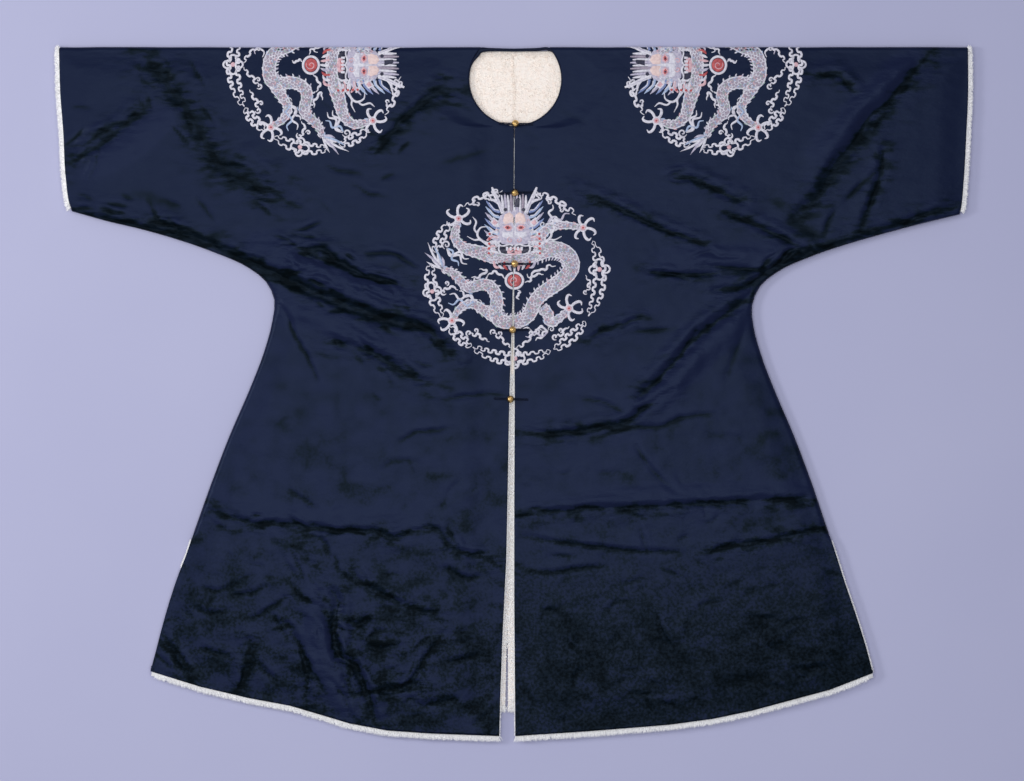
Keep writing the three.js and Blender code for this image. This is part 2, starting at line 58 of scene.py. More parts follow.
cam_object.location = CAMERA_AT
bpy.context.scene.collection.objects.link(cam_object)
bpy.context.scene.camera = cam_object

# ---- Sizes ----------------------------------------------------------------------------------------------
SIDES = {-1: "right", 1: "left"}
ORIGIN_DOWN = 572.5  # "down" of the frame's middle
TOP = 14.1  # top of the flat front cloth
FOLD_R, FOLD_Z = 6.6, 7.5  # the cloth over the shoulder
ARC = FOLD_R * math.pi / 2
BACK_Z = 0.9  # outside of the back cloth; the embroidery on it lies between it and the floor
MEET = 7.05  # height where front and back meet at a seam
SLEEVE_END = 750.0
NECK_X, NECK_DOWN, NECK_R = 3.0, 53.0, 77.5
HEM_DOWN, BACK_HEM = 1137.0, 1089.0
# Rows of the edge tables where the neck hole, cuff, sleeve's underside, side seam and vent end.
NECK_ROW, CUFF_ROW, ARM_ROW, VENT_ROW, HEM_ROW = 2, 5, 10, 20, 25
SKIRT_DOWN, SKIRT_LENGTH = 417, 613  # where the skirt starts to spread, and how far it goes on doing so

# Rows of the outer edge: out, down, start of the line across, 1 where it is a closed seam.
EDGE = {
    -1: np.array([
        (750, 6.6, 6.6, 0), (748, 75, 72, 0), (743, 140, 130.5, 0), (739, 215, 215, 0), (733, 258, 272, 0),
        (729, 271, 292, 1), (672, 287, 315, 1), (613, 301, 338, 1), (554, 318, 362, 1), (494, 339, 387, 1),
        (435, 366, 413, 1), (409, 387, 436, 1), (395, 417, 466, 1), (398, 450, 500, 1), (412, 503, 553, 1),
        (435, 563, 613, 1), (469, 642, 692, 1), (499, 721, 770, 1), (527, 800, 850, 1), (532, 814, 865, 0),
        (538, 832, 884, 0), (556, 879, 935, 0), (576, 943, 997, 0), (591, 1000, 1068, 0),
        (595, 1015, 1102, 0), (599, 1030, 1137, 0)], float),
    1: np.array([
        (750, 6.6, 6.6, 0), (750, 80, 72, 0), (747, 147, 130.5, 0), (743, 219, 215, 0), (739, 263, 272, 0),
        (737, 276, 294, 1), (671, 292, 316, 1), (611, 308, 340, 1), (552, 325, 364, 1), (493, 345, 389, 1),
        (433, 373, 416, 1), (407, 395, 438, 1), (394, 427, 468, 1), (396, 458, 500, 1), (409, 508, 553, 1),
        (431, 566, 613, 1), (464, 644, 692, 1), (493, 722, 770, 1), (520, 802, 850, 1), (525, 816, 865, 0),
        (531, 834, 884, 0), (546, 881, 935, 0), (568, 946, 997, 0), (585, 1002, 1068, 0),
        (589, 1017.5, 1102, 0), (593, 1033, 1137, 0)], float),
}
# How far the hem hangs below a straight line, by share of the way out.
HEM = {
    -1: ((0, .2, .32, .43, .49, .6, .72, .86, 1), (0, 17, 25, 25, 21, 14, 14, 10, 0)),
    1: ((0, .2, .43, .55, .66, .77, .88, 1), (0, 13, 26, 29, 27, 21, 15, 0)),
}
# The front edges: down, x.
FRONT = {
    -1: ((0, 127, 241, 358, 410, 467, 581, 747, 846, 978, 1077, 1137),
         (1.2, 1, .4, -.3, -1.6, -3.5, -7, -10, -12, -18.5, -22, -23.5)),
    1: ((0, 127, 241, 358, 467, 581, 747, 912, 1137), (2.8, 2, 1.2, .9, 1.2, 2, 1.2, 1.2, 3)),
}
CENTRE_BACK = ((0, 800, 960, 1000, 1100), (0, -6, -10, -10.5, -11.5), (.12, .12, .12, 1.5, 2.5))

# The creases of the front, each: width, depth, height of the ridge beside it as a share of the depth, then
# the places that it runs through, as x and down.
# Each crease also shapes the satin's colour: painted shade in its trough, and a painted highlight on its ridge
# or rise.
CREASES = [
    (16, 3.5, .5, -610, 15, -570, 64, -530, 117, -497, 177, -478, 200, -385, 243),
    (9, 2.5, .8, -732, 193, -699, 173, -649, 137, -603, 101),
    (5, 1.5, .5, -738, 167, -699, 157, -672, 127),
    (4, 1, .5, -728, 99, -695, 101),
    (8, 3, .3, -722, 272, -616, 297, -507, 323, -402, 371),
    (5, 1.5, .5, -603, 252, -583, 289, -570, 305),
    (5, 1.5, .5, -570, 282, -544, 312),
    (5, 1.2, .5, -583, 252, -550, 262),
    (5, 1.4, .5, -524, 249, -494, 285),
    (4, 1, .5, -646, 243, -629, 252),
    (9, 6, .9, -435, 355, -395, 375, -336, 401, -286, 424, -230, 444, -187, 457, -144, 465, -100, 507),
    (6, 2.5, .6, -395, 371, -352, 371, -326, 373),
    (7, 3, .7, -352, 342, -316, 335, -293, 351, -263, 368, -237, 381, -194, 391),
    (5, 2, .6, -243, 342, -207, 340, -187, 348, -158, 365),
    (6, 2, .6, -250, 401, -197, 424, -144, 432),
    (9, 3, .6, -237, 170, -204, 144, -177, 114, -154, 97, -128, 78, -105, 71, -78, 74),
    (4, 1.3, .6, -138, 94, -105, 94, -68, 101),
    (5, 1.6, .6, -309, 196, -290, 203, -250, 210),
    (5, 1.6, .6, -266, 226, -237, 243, -207, 246),
    (4, 1.2, .6, -220, 218, -197, 210),
    (4, 1.2, .6, -382, 256, -342, 266),
    (7, 1.2, .5, -118, 193, -45, 170),
    (4.5, 2.2, .6, -395, 411, -372, 447, -364, 470, -336, 520, -323, 551),
    (9, 2.8, .6, -311, 487, -258, 495, -209, 520, -169, 543, -128, 559),
    (5, 1.8, .6, -116, 582, -87, 578, -47, 574, -11, 574),
    (5, 1.8, .6, -189, 653, -164, 637, -136, 634, -100, 629),
    (4.5, 1.6, .6, -372, 731, -347, 747, -316, 767),
    (5.5, 3, .7, -511, 764, -438, 784, -372, 787, -323, 795, -250, 800, -225, 799, -197, 812, -148, 794,
     -125, 795),
    (5.5, 2.8, .7, -125, 795, -100, 828, -47, 843, -27, 858, -17, 856),
    (4.5, 1.8, .6, -364, 795, -339, 808, -316, 812, -303, 846),
    (6, 1.2, .5, -214, 698, -197, 683, -161, 686, -153, 698),
    (4, 1, .5, -233, 574, -217, 584),
    (6, 2.5, .7, -270, 860, -248, 884, -215, 906, -181, 922, -123, 937),
    (5, 2, .6, -115, 860, -77, 876, -52, 874),
    (5, 1.8, .6, -516, 893, -486, 898, -458, 883),
    (5, 1.8, .6, -466, 908, -440, 904, -407, 891),
    (5, 1.8, .6, -436, 947, -407, 931, -377, 906),
    (5, 1.6, .6, -524, 927, -494, 936, -474, 929),
    (8, 5, 1, -298, 898, -290, 922, -296, 964, -290, 1002, -265, 1018, -243, 1064, -229, 1115),
    (6, 2.8, .7, -382, 947, -361, 974, -341, 1015, -341, 1048, -344, 1077),
    (5, 1.8, .6, -332, 947, -311, 977),
    (5, 2, .6, -306, 1040, -278, 1072, -270, 1107),
    (6, 2.2, .6, -436, 974, -440, 1015, -453, 1064),
    (5, 1.6, .6, -423, 1015, -395, 1044),
    (6, 2, .6, -578, 974, -557, 1010, -532, 1048),
    (5, 2, .6, -240, 990, -214, 995, -189, 985),
    (6, 2.4, .6, -235, 1061, -181, 1056, -153, 1023, -118, 969),
    (5, 1.8, .6, -110, 1015, -82, 1010, -55, 1002),
    (5, 1.8, .6, -144, 1086, -93, 1077),
    (5, 1.4, .6, -64, 1119, -27, 1086),
    (7, 2.6, .6, -281, 947, -260, 952, -240, 947),
    (4, 1.2, .6, -44, 922, -16, 922),
    (5, 1.8, .6, -516, 993, -469, 1006),
    (6, 2.6, .7, 103, 239, 166, 262, 225, 292, 278, 312, 318, 328),
    (7, 3, .7, 265, 216, 301, 219, 341, 239, 380, 256),
    (7, 3.4, .7, 351, 272, 390, 289, 423, 305, 456, 322, 489, 338),
    (4.5, 1.8, .6, 295, 348, 321, 338, 341, 346, 374, 346),
    (5.5, 2.6, .6, 215, 370, 258, 375, 291, 376, 334, 375),
    (5, 2.2, .6, 304, 361, 351, 363, 390, 368, 423, 368),
    (7, 3.5, .7, 331, 401, 374, 398, 397, 388, 423, 371, 456, 338),
    (9, 6, .9, 400, 394, 390, 414, 351, 441, 299, 482, 257, 530, 209, 576),
    (9, 1.2, .5, 77, 104, 116, 124),
    (6, 2, .6, 120, 482, 166, 462, 209, 447),
    (5, 1.8, .6, 192, 469, 233, 469, 270, 465),
    (7, 3.6, .8, 4, 637, 64, 639, 106, 635, 149, 627, 187, 619, 219, 594, 262, 568),
    (5, 2, .6, 128, 647, 163, 637, 200, 627, 243, 627, 278, 612, 334, 606),
    (5, 1.6, .6, 111, 581, 149, 587, 187, 606),
    (5.5, 3.2, .8, 4, 774, 64, 767, 123, 761, 200, 759, 278, 756, 342, 752, 407, 747, 497, 746),
    (5, 2.4, .7, 12, 808, 72, 817, 149, 827, 214, 833, 270, 833),
    (5.5, 2.4, .7, 321, 830, 385, 820, 450, 808, 493, 797, 514, 795),
    (5, 1.8, .6, 200, 658, 235, 705, 270, 734),
    (4.5, 1.4, .6, 205, 787, 222, 833),
    (8, 1.2, .5, 385, 452, 364, 512, 351, 551),
    (7, 1, .5, 321, 642, 377, 645),
    (13, 5, .7, 687, 8, 664, 38, 638, 64, 618, 91, 585, 117, 559, 163, 532, 196, 506, 243, 473, 269),
    (6, 2, .6, 483, 48, 532, 43, 549, 61, 565, 78),
    (7, 3, .7, 611, 167, 605, 210, 588, 262, 578, 285, 572, 305),
    (5, 1.8, .6, 601, 203, 572, 229, 549, 252),
    (7, 2.5, .4, 585, 302, 625, 295, 671, 279, 733, 266),
    (5, 2, .6, 433, 358, 460, 335, 489, 342),
    (4.5, 1.6, .6, 512, 312, 519, 289, 532, 269),
    (5, 2, .6, 4, 858, 55, 868, 106, 861, 154, 858),
    (4, 1.4, .6, 42, 926, 59, 931, 85, 921),
    (4, 1.2, .6, 64, 840, 101, 840),
    (4, 1.2, .6, 252, 865, 273, 874),
    (5, 1.8, .6, 235, 936, 243, 965, 257, 987),
    (5, 1.6, .6, 85, 978, 115, 1003),
    (4, 1.4, .6, 514, 865, 540, 871),
    (5, 1.6, .6, 390, 939, 441, 947),
    (5, 1.6, .6, 420, 988, 441, 990),
    (5, 1.6, .6, 463, 1025, 519, 1025),
    (4, 1.2, .6, 227, 1046, 235, 1053),
    (4, 1.4, .6, 243, 1081, 262, 1087),
    # Soft hollows under the arms and down the sleeves, where the satin is also painted darker as shade.
    (13, 2, 0, -470, 338, -417, 366, -362, 391, -309, 413, -228, 440, -147, 461),
    (12, 1.5, 0, -379, 337, -309, 353, -238, 386, -185, 396),
    (11, 1.3, 0, -600, 285, -545, 303, -470, 335),
    (12, 1, 0, -640, 240, -590, 250, -545, 275),
    (20, .9, 0, -610, 15, -570, 64, -530, 117, -497, 177, -478, 200, -385, 243),
    (12, 1.7, 0, 392, 396, 461, 353, 515, 330, 590, 306),
    (20, 1, 0, 687, 8, 618, 91, 559, 163, 506, 243, 460, 300),
    (14, 1, 0, 420, 240, 470, 290, 520, 320),
    (12, 1, 0, 330, 368, 380, 372, 420, 366),
    # Soft hollows of the skirt, where the fleece under the satin is thin; the satin is also painted darker in
    # them as shade.
    (13, 1.5, 0, -352, 835, -330, 865, -322, 905),
    (12, 1.7, 0, -352, 905, -325, 925, -300, 960, -296, 1010),
    (15, 1.6, 0, -322, 980, -300, 1030, -280, 1090),
    (9, 1.1, 0, -290, 935, -262, 938, -238, 946),
    (12, 1, 0, -262, 1000, -215, 1050, -205, 1095),
    (11, 1.6, 0, -240, 990, -195, 985),
    (10, 1.2, 0, -450, 985, -442, 1040, -452, 1085),
    (10, 1.5, 0, -235, 1062, -150, 1056),
    (10, 1.3, 0, -150, 1085, -95, 1074),
    (12, 1.2, 0, -470, 765, -430, 795),
    (11, 1.2, 0, -120, 865, -80, 880),
    (12, 1.4, 0, -75, 1100, -28, 1060),
    (16, 1.2, 0, 215, 920, 240, 980, 300, 1030),
    (14, 1.3, 0, 390, 940, 440, 985, 500, 1010),
    (15, 1.1, 0, 60, 930, 120, 985, 150, 1060),
    (14, 1.1, 0, 330, 1050, 420, 1040),
    # Broad rises between the drag folds and beside the skirt's soft folds, where the satin is also painted
    # paler as highlight.
    (20, -5, 0, -420, 325, -286, 384, -150, 425),
    (20, -4, 0, -400, 420, -290, 462, -165, 505),
    (20, -5.5, 0, -330, 880, -318, 990, -272, 1100),
    (20, -4.5, 0, 385, 446, 305, 512, 225, 600),
    (18, -3, 0, 250, 345, 330, 350, 430, 335),
    (22, -3, 0, -700, 205, -640, 170, -560, 110),
    (22, -4, 0, 655, 15, 590, 90, 500, 175),
    (16, -2.5, 0, -480, 745, -322, 770, -150, 768),
    (16, -2.5, 0, 20, 750, 214, 738, 480, 726),
]


def smooth(t):
    t = np.clip(t, 0, 1)
    return t * t * (3 - 2 * t)


def mix(a, b, t):
    return a + (b - a) * t


def spline(points, step):
    """A smooth line through points, as points about one step apart."""
    p = np.asarray(points, float)
    if len(p) > 2:
        q = np.vstack([2 * p[0] - p[1], p, 2 * p[-1] - p[-2]])
        t = np.linspace(0, 1, 9)[:-1, None]
        out = [.5 * (2 * b + (c - a) * t + (2 * a - 5 * b + 4 * c - d) * t**2
                     + (3 * b - a - 3 * c + d) * t**3)
               for a, b, c, d in zip(q, q[1:], q[2:], q[3:])]
        p = np.vstack(out + [p[-1:]])
    length = np.r_[0, np.cumsum(np.linalg.norm(np.diff(p, axis=0), axis=1))]
    n = max(2, int(math.ceil(length[-1] / step)) + 1)
    s = np.linspace(0, length[-1], n)
    return np.stack([np.interp(s, length, column) for column in p.T], 1)


def ways_along(line):
    """The unit tangents of a line of points, and the normals to their left."""
    t = np.gradient(line, axis=0)
    t /= np.maximum(1e-9, np.linalg.norm(t, axis=1))[:, None]
    return t, np.stack([-t[:, 1], t[:, 0]], 1)


def lumps(x, down, size, seed):
    """Smooth seeded noise between about -1 and 1 with features of a size in mm."""
    cells = 64
    grid = np.random.RandomState(seed).uniform(-1, 1, (cells, cells))
    u, v = x / size + 31.3, down / size + 7.7
    i, j = np.floor(u).astype(int), np.floor(v).astype(int)
    s, t = smooth(u - i), smooth(v - j)
    rows = [mix(grid[i % cells, k % cells], grid[(i + 1) % cells, k % cells], s) for k in (j, j + 1)]
    return mix(*rows, t)


def edge_columns(sign, places):
    """The edge table at places counted in rows: out and down on a smooth line, the rest straight."""
    table = EDGE[sign]
    rows = np.arange(len(table))
    steps = np.diff(table[:, :2], axis=0)
    length = np.r_[1e-6, np.cumsum(np.linalg.norm(steps, axis=1))]
    at = np.interp(places, rows, length)
    h = np.diff(length)
    slopes = steps / h[:, None]
    before, after = np.vstack([slopes[:1], slopes]), np.vstack([slopes, slopes[-1:]])
    w = np.r_[.5, h[:-1] / (h[:-1] + h[1:]), .5][:, None]
    arriving = before * (1 - w) + after * w
    leaving = arriving.copy()
    arriving[CUFF_ROW], leaving[CUFF_ROW] = slopes[CUFF_ROW - 1], slopes[CUFF_ROW]  # a corner
    i = np.clip(np.searchsorted(length, at, side="right") - 1, 0, len(table) - 2)
    t = ((at - length[i]) / h[i])[:, None]
    both = ((2 * t**3 - 3 * t**2 + 1) * table[i, :2] + (t**3 - 2 * t**2 + t) * (leaving[i] * h[i][:, None])
            + (3 * t**2 - 2 * t**3) * table[i + 1, :2] + (t**3 - t**2) * (arriving[i + 1] * h[i][:, None]))
    return both[:, 0], both[:, 1], np.interp(places, rows, table[:, 2]), np.interp(places, rows, table[:, 3])


def neck_x(sign, down, radius=NECK_R):
    return NECK_X + sign * np.sqrt(np.maximum(0, radius**2 - (down - NECK_DOWN) ** 2))


def lines_across(sign, places, face, out_by=0.0, down_by=0.0, neck_by=0.0):
    """Ends of the lines across one face: start x, start down, end x, end down, the skirt's share, closed."""
    out, down, start, closed = edge_columns(sign, places)
    skirt = smooth((down - SKIRT_DOWN) / SKIRT_LENGTH) ** 1.5
    end_down = down + down_by
    if face == "front":
        radius = NECK_R + neck_by
        turn = mix(math.asin((FOLD_R - NECK_DOWN) / NECK_R), math.pi / 2, np.clip(places / NECK_ROW, 0, 1))
        start = np.where(places < NECK_ROW, NECK_DOWN + radius * np.sin(turn), start)
        edge = np.interp(start, *FRONT[sign])
        neck = neck_x(sign, start, radius)
        x = np.where(start < NECK_DOWN + radius, sign * np.maximum(sign * neck, sign * edge), edge)
    else:
        start = mix(start, start * BACK_HEM / HEM_DOWN, skirt)
        x = np.interp(start, *CENTRE_BACK[:2]) + sign * np.interp(start, CENTRE_BACK[0], CENTRE_BACK[2])
        end_down = end_down - 3 * skirt
    return x, start, sign * (out + out_by), end_down, skirt, closed


def spread(sign, face, lines, share):
    """x and down at shares of the way along the lines across one face, with the sag of its hem."""
    x0, d0, x1, d1, skirt = (np.asarray(column)[:, None] for column in lines[:5])
    sag = np.interp(share, *HEM[sign]) if face == "front" else 10 * np.sin(np.pi * np.clip(share, 0, 1))
    return mix(x0, x1, share), mix(d0, d1, share) + sag * skirt


# ---- Creases --------------------------------------------------------------------------------------------
LONG_CREASES = [row for row in CREASES if row[0] >= 5.5 and row[1] >= 1.5]
rng = np.random.RandomState(7)


def course(row, step):
    """The line of a crease, as points about one step apart."""
    return spline(np.array(row[3:], float).reshape(-1, 2), step)


def random_puckers():
    """Small dents, mostly in the skirt, where the cloth has lain folded over the fleece."""
    rows = []
    for count, top, bottom, deep in ((90, 880, 1120, 1.0), (70, 700, 900, .8), (60, 60, 700, .6)):
        for _ in range(count):
            down = rng.uniform(top, bottom)
            x = rng.uniform(-1, 1) * (570 if down > 700 else 380)
            turn, length = rng.normal(0, .6), rng.uniform(6, 20)
            dx, dd, bend = length * math.cos(turn), length * math.sin(turn), rng.uniform(-4, 4)
            rows.append((rng.uniform(3.2, 5), deep * rng.uniform(.4, 1.1), .7,
                         x - dx, down - dd, x + bend, down + bend, x + dx, down + dd))
    return rows


def streaks():
    """Short broken creases that run with each of the long ones, fewer and closer on the left half."""
    rows = []
    for row in LONG_CREASES:
        line = course(row, 6)
        every, apart = (44, 1.3) if line[:, 0].mean() > 0 else (18, 1.9)
        for _ in range(int(len(line) * 6 / every)):
            i = rng.randint(1, len(line) - 1)
            t = line[i + 1] - line[i - 1]
            turn = math.atan2(t[1], t[0]) + rng.normal(0, .28)
            at = line[i] + np.array([-math.sin(turn), math.cos(turn)]) * rng.normal(0, row[0] * apart)
            half, bend = rng.uniform(7, 24), rng.uniform(-3, 3)
            u = np.array([math.cos(turn), math.sin(turn)]) * half
            rows.append((rng.uniform(3, 4.4), rng.uniform(.5, 1.7), .8, *(at - u), *(at + bend), *(at + u)))
    return rows


ALL_CREASES = CREASES + random_puckers() + streaks()


def crumple(x, down):
    """How much the cloth is rumpled at places by the long creases, from 0 to 1."""
    near = np.zeros_like(x)
    for row in LONG_CREASES:
        wide = 2.6 * row[0] + 8
        for px, pd in course(row, 12):
            near = np.maximum(near, np.exp(-((x - px) ** 2 + (down - pd) ** 2) / wide**2))
    return near


def nearest_on(line, p):
    """For places p: the distance to a line, the signed distance, and the share of the line where it is."""
    best, side, along = np.full(len(p), 1e9), np.zeros(len(p)), np.zeros(len(p))
    for i in range(len(line) - 1):
        a, ab = line[i], line[i + 1] - line[i]
        t = np.clip(((p - a) @ ab) / (ab @ ab), 0, 1)
        off = p - a - t[:, None] * ab
        d = np.hypot(off[:, 0], off[:, 1])
        closer = d < best
        best = np.where(closer, d, best)
        side = np.where(closer, np.sign(ab[0] * off[:, 1] - ab[1] * off[:, 0]) * d, side)
        along = np.where(closer, (i + t) / (len(line) - 1), along)
    return best, side, along


def as_painted_shade(width, depth, line):
    """A crease as painted shade: the width and depth of its dark line and the shade painted round it, which
    are less on the left half.
    """
    left = line[:, 0].mean() > 0
    most, steep = (2.4, 1.1) if left else (2.7, 1.3)
    shade_spread = .12 if left else .5 * (1 - smooth((line[:, 1].mean() - 450) / 250))
    depth = min(most, depth * min(steep, 5.5 / width))
    return max(3.1, min(3.5, .6 * width)), depth, shade_spread if width > 5 else 0


def crease_height(x, down, painted_shade=False):
    """Height that the creases give the front at places in flat arrays. With its last argument set it is
    instead how pale the painted shade of the creases leaves the satin there, which is below 0 in a crease."""
    height = np.zeros_like(x)
    for row in ALL_CREASES:
        width, depth, ridge = row[:3]
        line = course(row, 8)
        trough_width, shade_spread = .8 * width, 0
        # Painted shade: each crease becomes a narrower dark line with shade spread round it, and a fainter
        # painted highlight on its ridge.
        if painted_shade and ridge:
            trough_width, depth, shade_spread = as_painted_shade(width, depth, line)
            ridge *= .4
        far = 3.6 * width
        near = np.nonzero((x > line[:, 0].min() - far) & (x < line[:, 0].max() + far)
                          & (down > line[:, 1].min() - far) & (down < line[:, 1].max() + far))[0]
        if not len(near):
            continue
        at_x, at_down = x[near], down[near]
        jag = min(1.1 if line[:, 0].mean() > 0 else 2, .36 * width)
        off_x, off_down = jag * lumps(at_x, at_down, 9, 61), jag * lumps(at_x, at_down, 11, 62)
        best, side, along = nearest_on(line, np.stack([at_x + off_x, at_down + off_down], 1))
        taper = np.sqrt(np.sin(np.pi * np.clip(.04 + .92 * along, 0, 1)))
        trough = np.exp(-(best / trough_width) ** 2) * (1 + .25 * lumps(at_x, at_down, 19, 63))
        trough += shade_spread * np.exp(-(best / (1.9 * width)) ** 2)
        above = -1 if line[-1, 0] > line[0, 0] else 1
        rise = np.exp(-((side * above - 1.9 * width) / (1.3 * width)) ** 2)
        height[near] += taper * depth * (ridge * .75 * rise - trough)
    return height


def front_lift(x, down, d_in, d_out, d_hem):
    """Height over the flat that fleece, creases and lumps give the front, less near its edges. Each place has
    its distances to the centre line, to the outer edge and to the hem."""
    inside = np.minimum(np.minimum(d_in - 30, d_out), down - FOLD_R)
    loft = 4 * smooth(inside / 50) * mix(.25, 1, smooth(d_hem / 90))
    free = smooth(d_out / 16) * smooth((d_in - 1) / 14) * mix(.2, 1, smooth(d_hem / 30))
    free *= smooth((down - 8) / 26)
    skirt = smooth((down - 520) / 200)
    small = (lumps(x, down * 1.5, 42, 3) * .55 + lumps(x, down * 1.3, 19, 4) * .28) * mix(.45, 1, skirt)
    small += lumps(x * .7, down, 120, 5) * .9
    lift = loft + free * (crease_height(x, down) + small) + .35
    return .5 * (lift + np.sqrt(lift**2 + .5)) - .25  # never far below the flat


# ---- Meshes ---------------------------------------------------------------------------------------------
def mesh(name, points, faces, materials, which=None, uv=None):
    """A piece from points in mm (x, down, z), its faces and its materials. It rides on the coat."""
    p = np.asarray(points, float)
    world = np.stack([p[:, 0], ORIGIN_DOWN - p[:, 1], p[:, 2]], 1) / 1000
    data = bpy.data.meshes.new(name)
    data.from_pydata(world.tolist(), [], [list(map(int, f)) for f in faces])
    for m in materials:
        data.materials.append(m)
    if which is not None:
        data.polygons.foreach_set("material_index", np.asarray(which, np.int32))
    data.polygons.foreach_set("use_smooth", np.ones(len(data.polygons), bool))
    if uv is not None:
        layer = data.uv_layers.new(name="thread")
        loops = np.zeros(len(data.loops), np.int32)
        data.loops.foreach_get("vertex_index", loops)
        layer.data.foreach_set("uv", np.asarray(uv, float)[loops].astype(np.float32).ravel())
    data.validate()
    o = bpy.data.objects.new(name, data)
    bpy.context.scene.collection.objects.link(o)
    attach(o, "root")
    return o


def grid_faces(rows, columns, flip=False):
    a = (np.arange(rows - 1)[:, None] * columns + np.arange(columns - 1)).ravel()
    quads = np.stack([a, a + 1, a + columns + 1, a + columns], 1)
    return quads[:, ::-1] if flip else quads


def flat_points(x, down, z):
    return np.stack([x.ravel(), down.ravel(), z.ravel()], 1)


# ---- Materials ------------------------------------------------------------------------------------------
class Look:
    """A material built from nodes round its Principled shader."""

    def __init__(self, name, color, roughness, **inputs):
        self.material = bpy.data.materials.new(name)
        self.material.use_nodes = True
        self.tree = self.material.node_tree
        self.shader = self.tree.nodes["Principled BSDF"]
        self.shader.inputs["Base Color"].default_value = (*color, 1)
        self.shader.inputs["Roughness"].default_value = roughness
        for key, value in inputs.items():
            socket = self.shader.inputs[key.replace("_", " ")]
            socket.default_value = (*value, 1) if isinstance(value, tuple) else value

    def outputs(self, kind, sources=None, **settings):
        """The outputs of a new node with links from its sources, and with settings or input values."""
        n = self.tree.nodes.new("ShaderNode" + kind)
        for key, value in settings.items():
            if hasattr(n, key):
                setattr(n, key, value)
            else:
                n.inputs[key.replace("_", " ")].default_value = value
        for key, source in (sources or {}).items():
            self.tree.links.new(source, n.inputs[key])
        return n.outputs

    def node(self, kind, sources=None, **settings):
        return self.outputs(kind, sources, **settings)[0]

    def calc(self, operation, *sources):
        return self.node("Math", dict(enumerate(sources)), operation=operation)

    def remap(self, factor, low, high, to_low, to_high):
        return self.node("MapRange", {0: factor}, From_Min=low, From_Max=high, To_Min=to_low, To_Max=to_high)

    def scaled(self, scale=(1, 1, 1), output="Object"):
        return self.node("Mapping", {0: self.outputs("TexCoord")[output]}, Scale=scale)

    def noise(self, scale, detail=3, stretch=(1, 1, 1)):
        return self.node("TexNoise", {"Vector": self.scaled(stretch)}, Scale=scale, Detail=detail)

    def drive(self, socket, source):
        self.tree.links.new(source, self.shader.inputs[socket])

    def color_by(self, factor, *stops):
        output = self.node("ValToRGB", {0: factor})
        elements = output.node.color_ramp.elements
        while len(elements) < len(stops):
            elements.new(.5)
        for element, (at, color) in zip(elements, stops):
            element.position, element.color = at, (*color, 1)
        self.drive("Base Color", output)

    def bump(self, *layers):
        """Layers of (height, strength, distance in m), one over the other."""
        last = None
        for height, strength, distance in layers:
            sources = {"Height": height, "Normal": last} if last else {"Height": height}
            last = self.node("Bump", sources, Strength=strength, Distance=distance)
        self.drive("Normal", last)


def satin_look(name, base, half_shade, deep, pale):
    """Satin with shade painted into its colour in its creases and, where it is rumpled, painted sheen and
    shade in streaks; the mesh carries both.
    """
    k = Look(name, base, .42, Sheen_Weight=.04, Sheen_Roughness=.5, Sheen_Tint=(.45, .5, .8),
             Specular_Tint=(.5, .68, 1))
    crease, rumple = (k.outputs("Attribute", attribute_name=n)["Fac"] for n in ("crease", "crumple"))
    x, y, _ = k.outputs("SeparateXYZ", {0: k.scaled()})
    mirrored = k.node("CombineXYZ", {0: k.calc("ABSOLUTE", x), 1: y})
    slanted = k.node("Mapping", {0: mirrored}, Rotation=(0, 0, math.radians(-22)), Scale=(.35, 1, 1))
    fine = k.node("TexNoise", {"Vector": slanted}, Scale=80, Detail=5)
    skirt = k.remap(y, .05, -.42, 0, 1)
    mottled = k.calc("MAXIMUM", rumple, k.remap(y, .05, -.42, 0, .62))
    # Painted shade and highlight that the mesh carries: high in the creases and over the dark ground, low on
    # the ridges.
    tone = k.remap(crease, -1.9, 1.4, .62, -.22)
    # Painted sheen and shade: streaks and mottling where the cloth is rumpled, and mottling down the skirt.
    for factor, mask in ((k.remap(fine, .44, .66, -.1, .34), rumple),
                         (k.remap(k.noise(42, 6, (1, 1.3, 1)), .40, .64, -.07, .17), mottled),
                         (k.remap(k.noise(210, 4), .40, .62, -.08, .24), skirt)):
        tone = k.calc("MULTIPLY_ADD", factor, mask, tone)
    # The colour runs from the painted highlight, through the satin's own colour, to painted shade.
    k.color_by(tone, (.0, pale), (.28, base), (.5, half_shade), (.85, deep))
    # Less reflection where more shade is painted, which darkens the creases further.
    k.drive("Specular IOR Level", k.remap(tone, .28, .8, .15, .05))
    k.drive("Roughness", k.remap(k.noise(45, 4), 0, 1, .34, .46))
    floats = k.node("TexWave", {"Vector": k.scaled()}, Scale=640, Distortion=1.5, bands_direction="Y")
    k.bump((k.noise(1400, 2, (1, .3, 1)), .12, .0002), (floats, .08, .0002),
           (k.calc("MULTIPLY", fine, rumple), .55, .004), (k.noise(22, 4, (1, 1.6, 1)), .5, .004))
    return k.material


def thread_look(name, color, dark):
    """Silk thread whose stitches run across the line that is worked."""
    k = Look(name, color, .42, Sheen_Weight=.3, Sheen_Roughness=.35, Specular_IOR_Level=.5)
    k.color_by(k.noise(260, 3), (.3, dark), (.62, color))
    stitches = k.node("TexWave", {"Vector": k.scaled(output="UV")}, Scale=380, Distortion=2, Detail=2,
                      bands_direction="X")
    k.bump((stitches, .55, .0003), (k.noise(900, 2), .3, .0002))
    return k.material


def fur_look(name, light, shade):
    k = Look(name, light, .85, Sheen_Weight=.5, Sheen_Roughness=.6, Specular_IOR_Level=.2)
    k.color_by(k.noise(130, 4), (.25, shade), (.6, light))
    k.bump((k.noise(420, 4), .25, .001), (k.noise(90, 3), .2, .002))
    return k.material


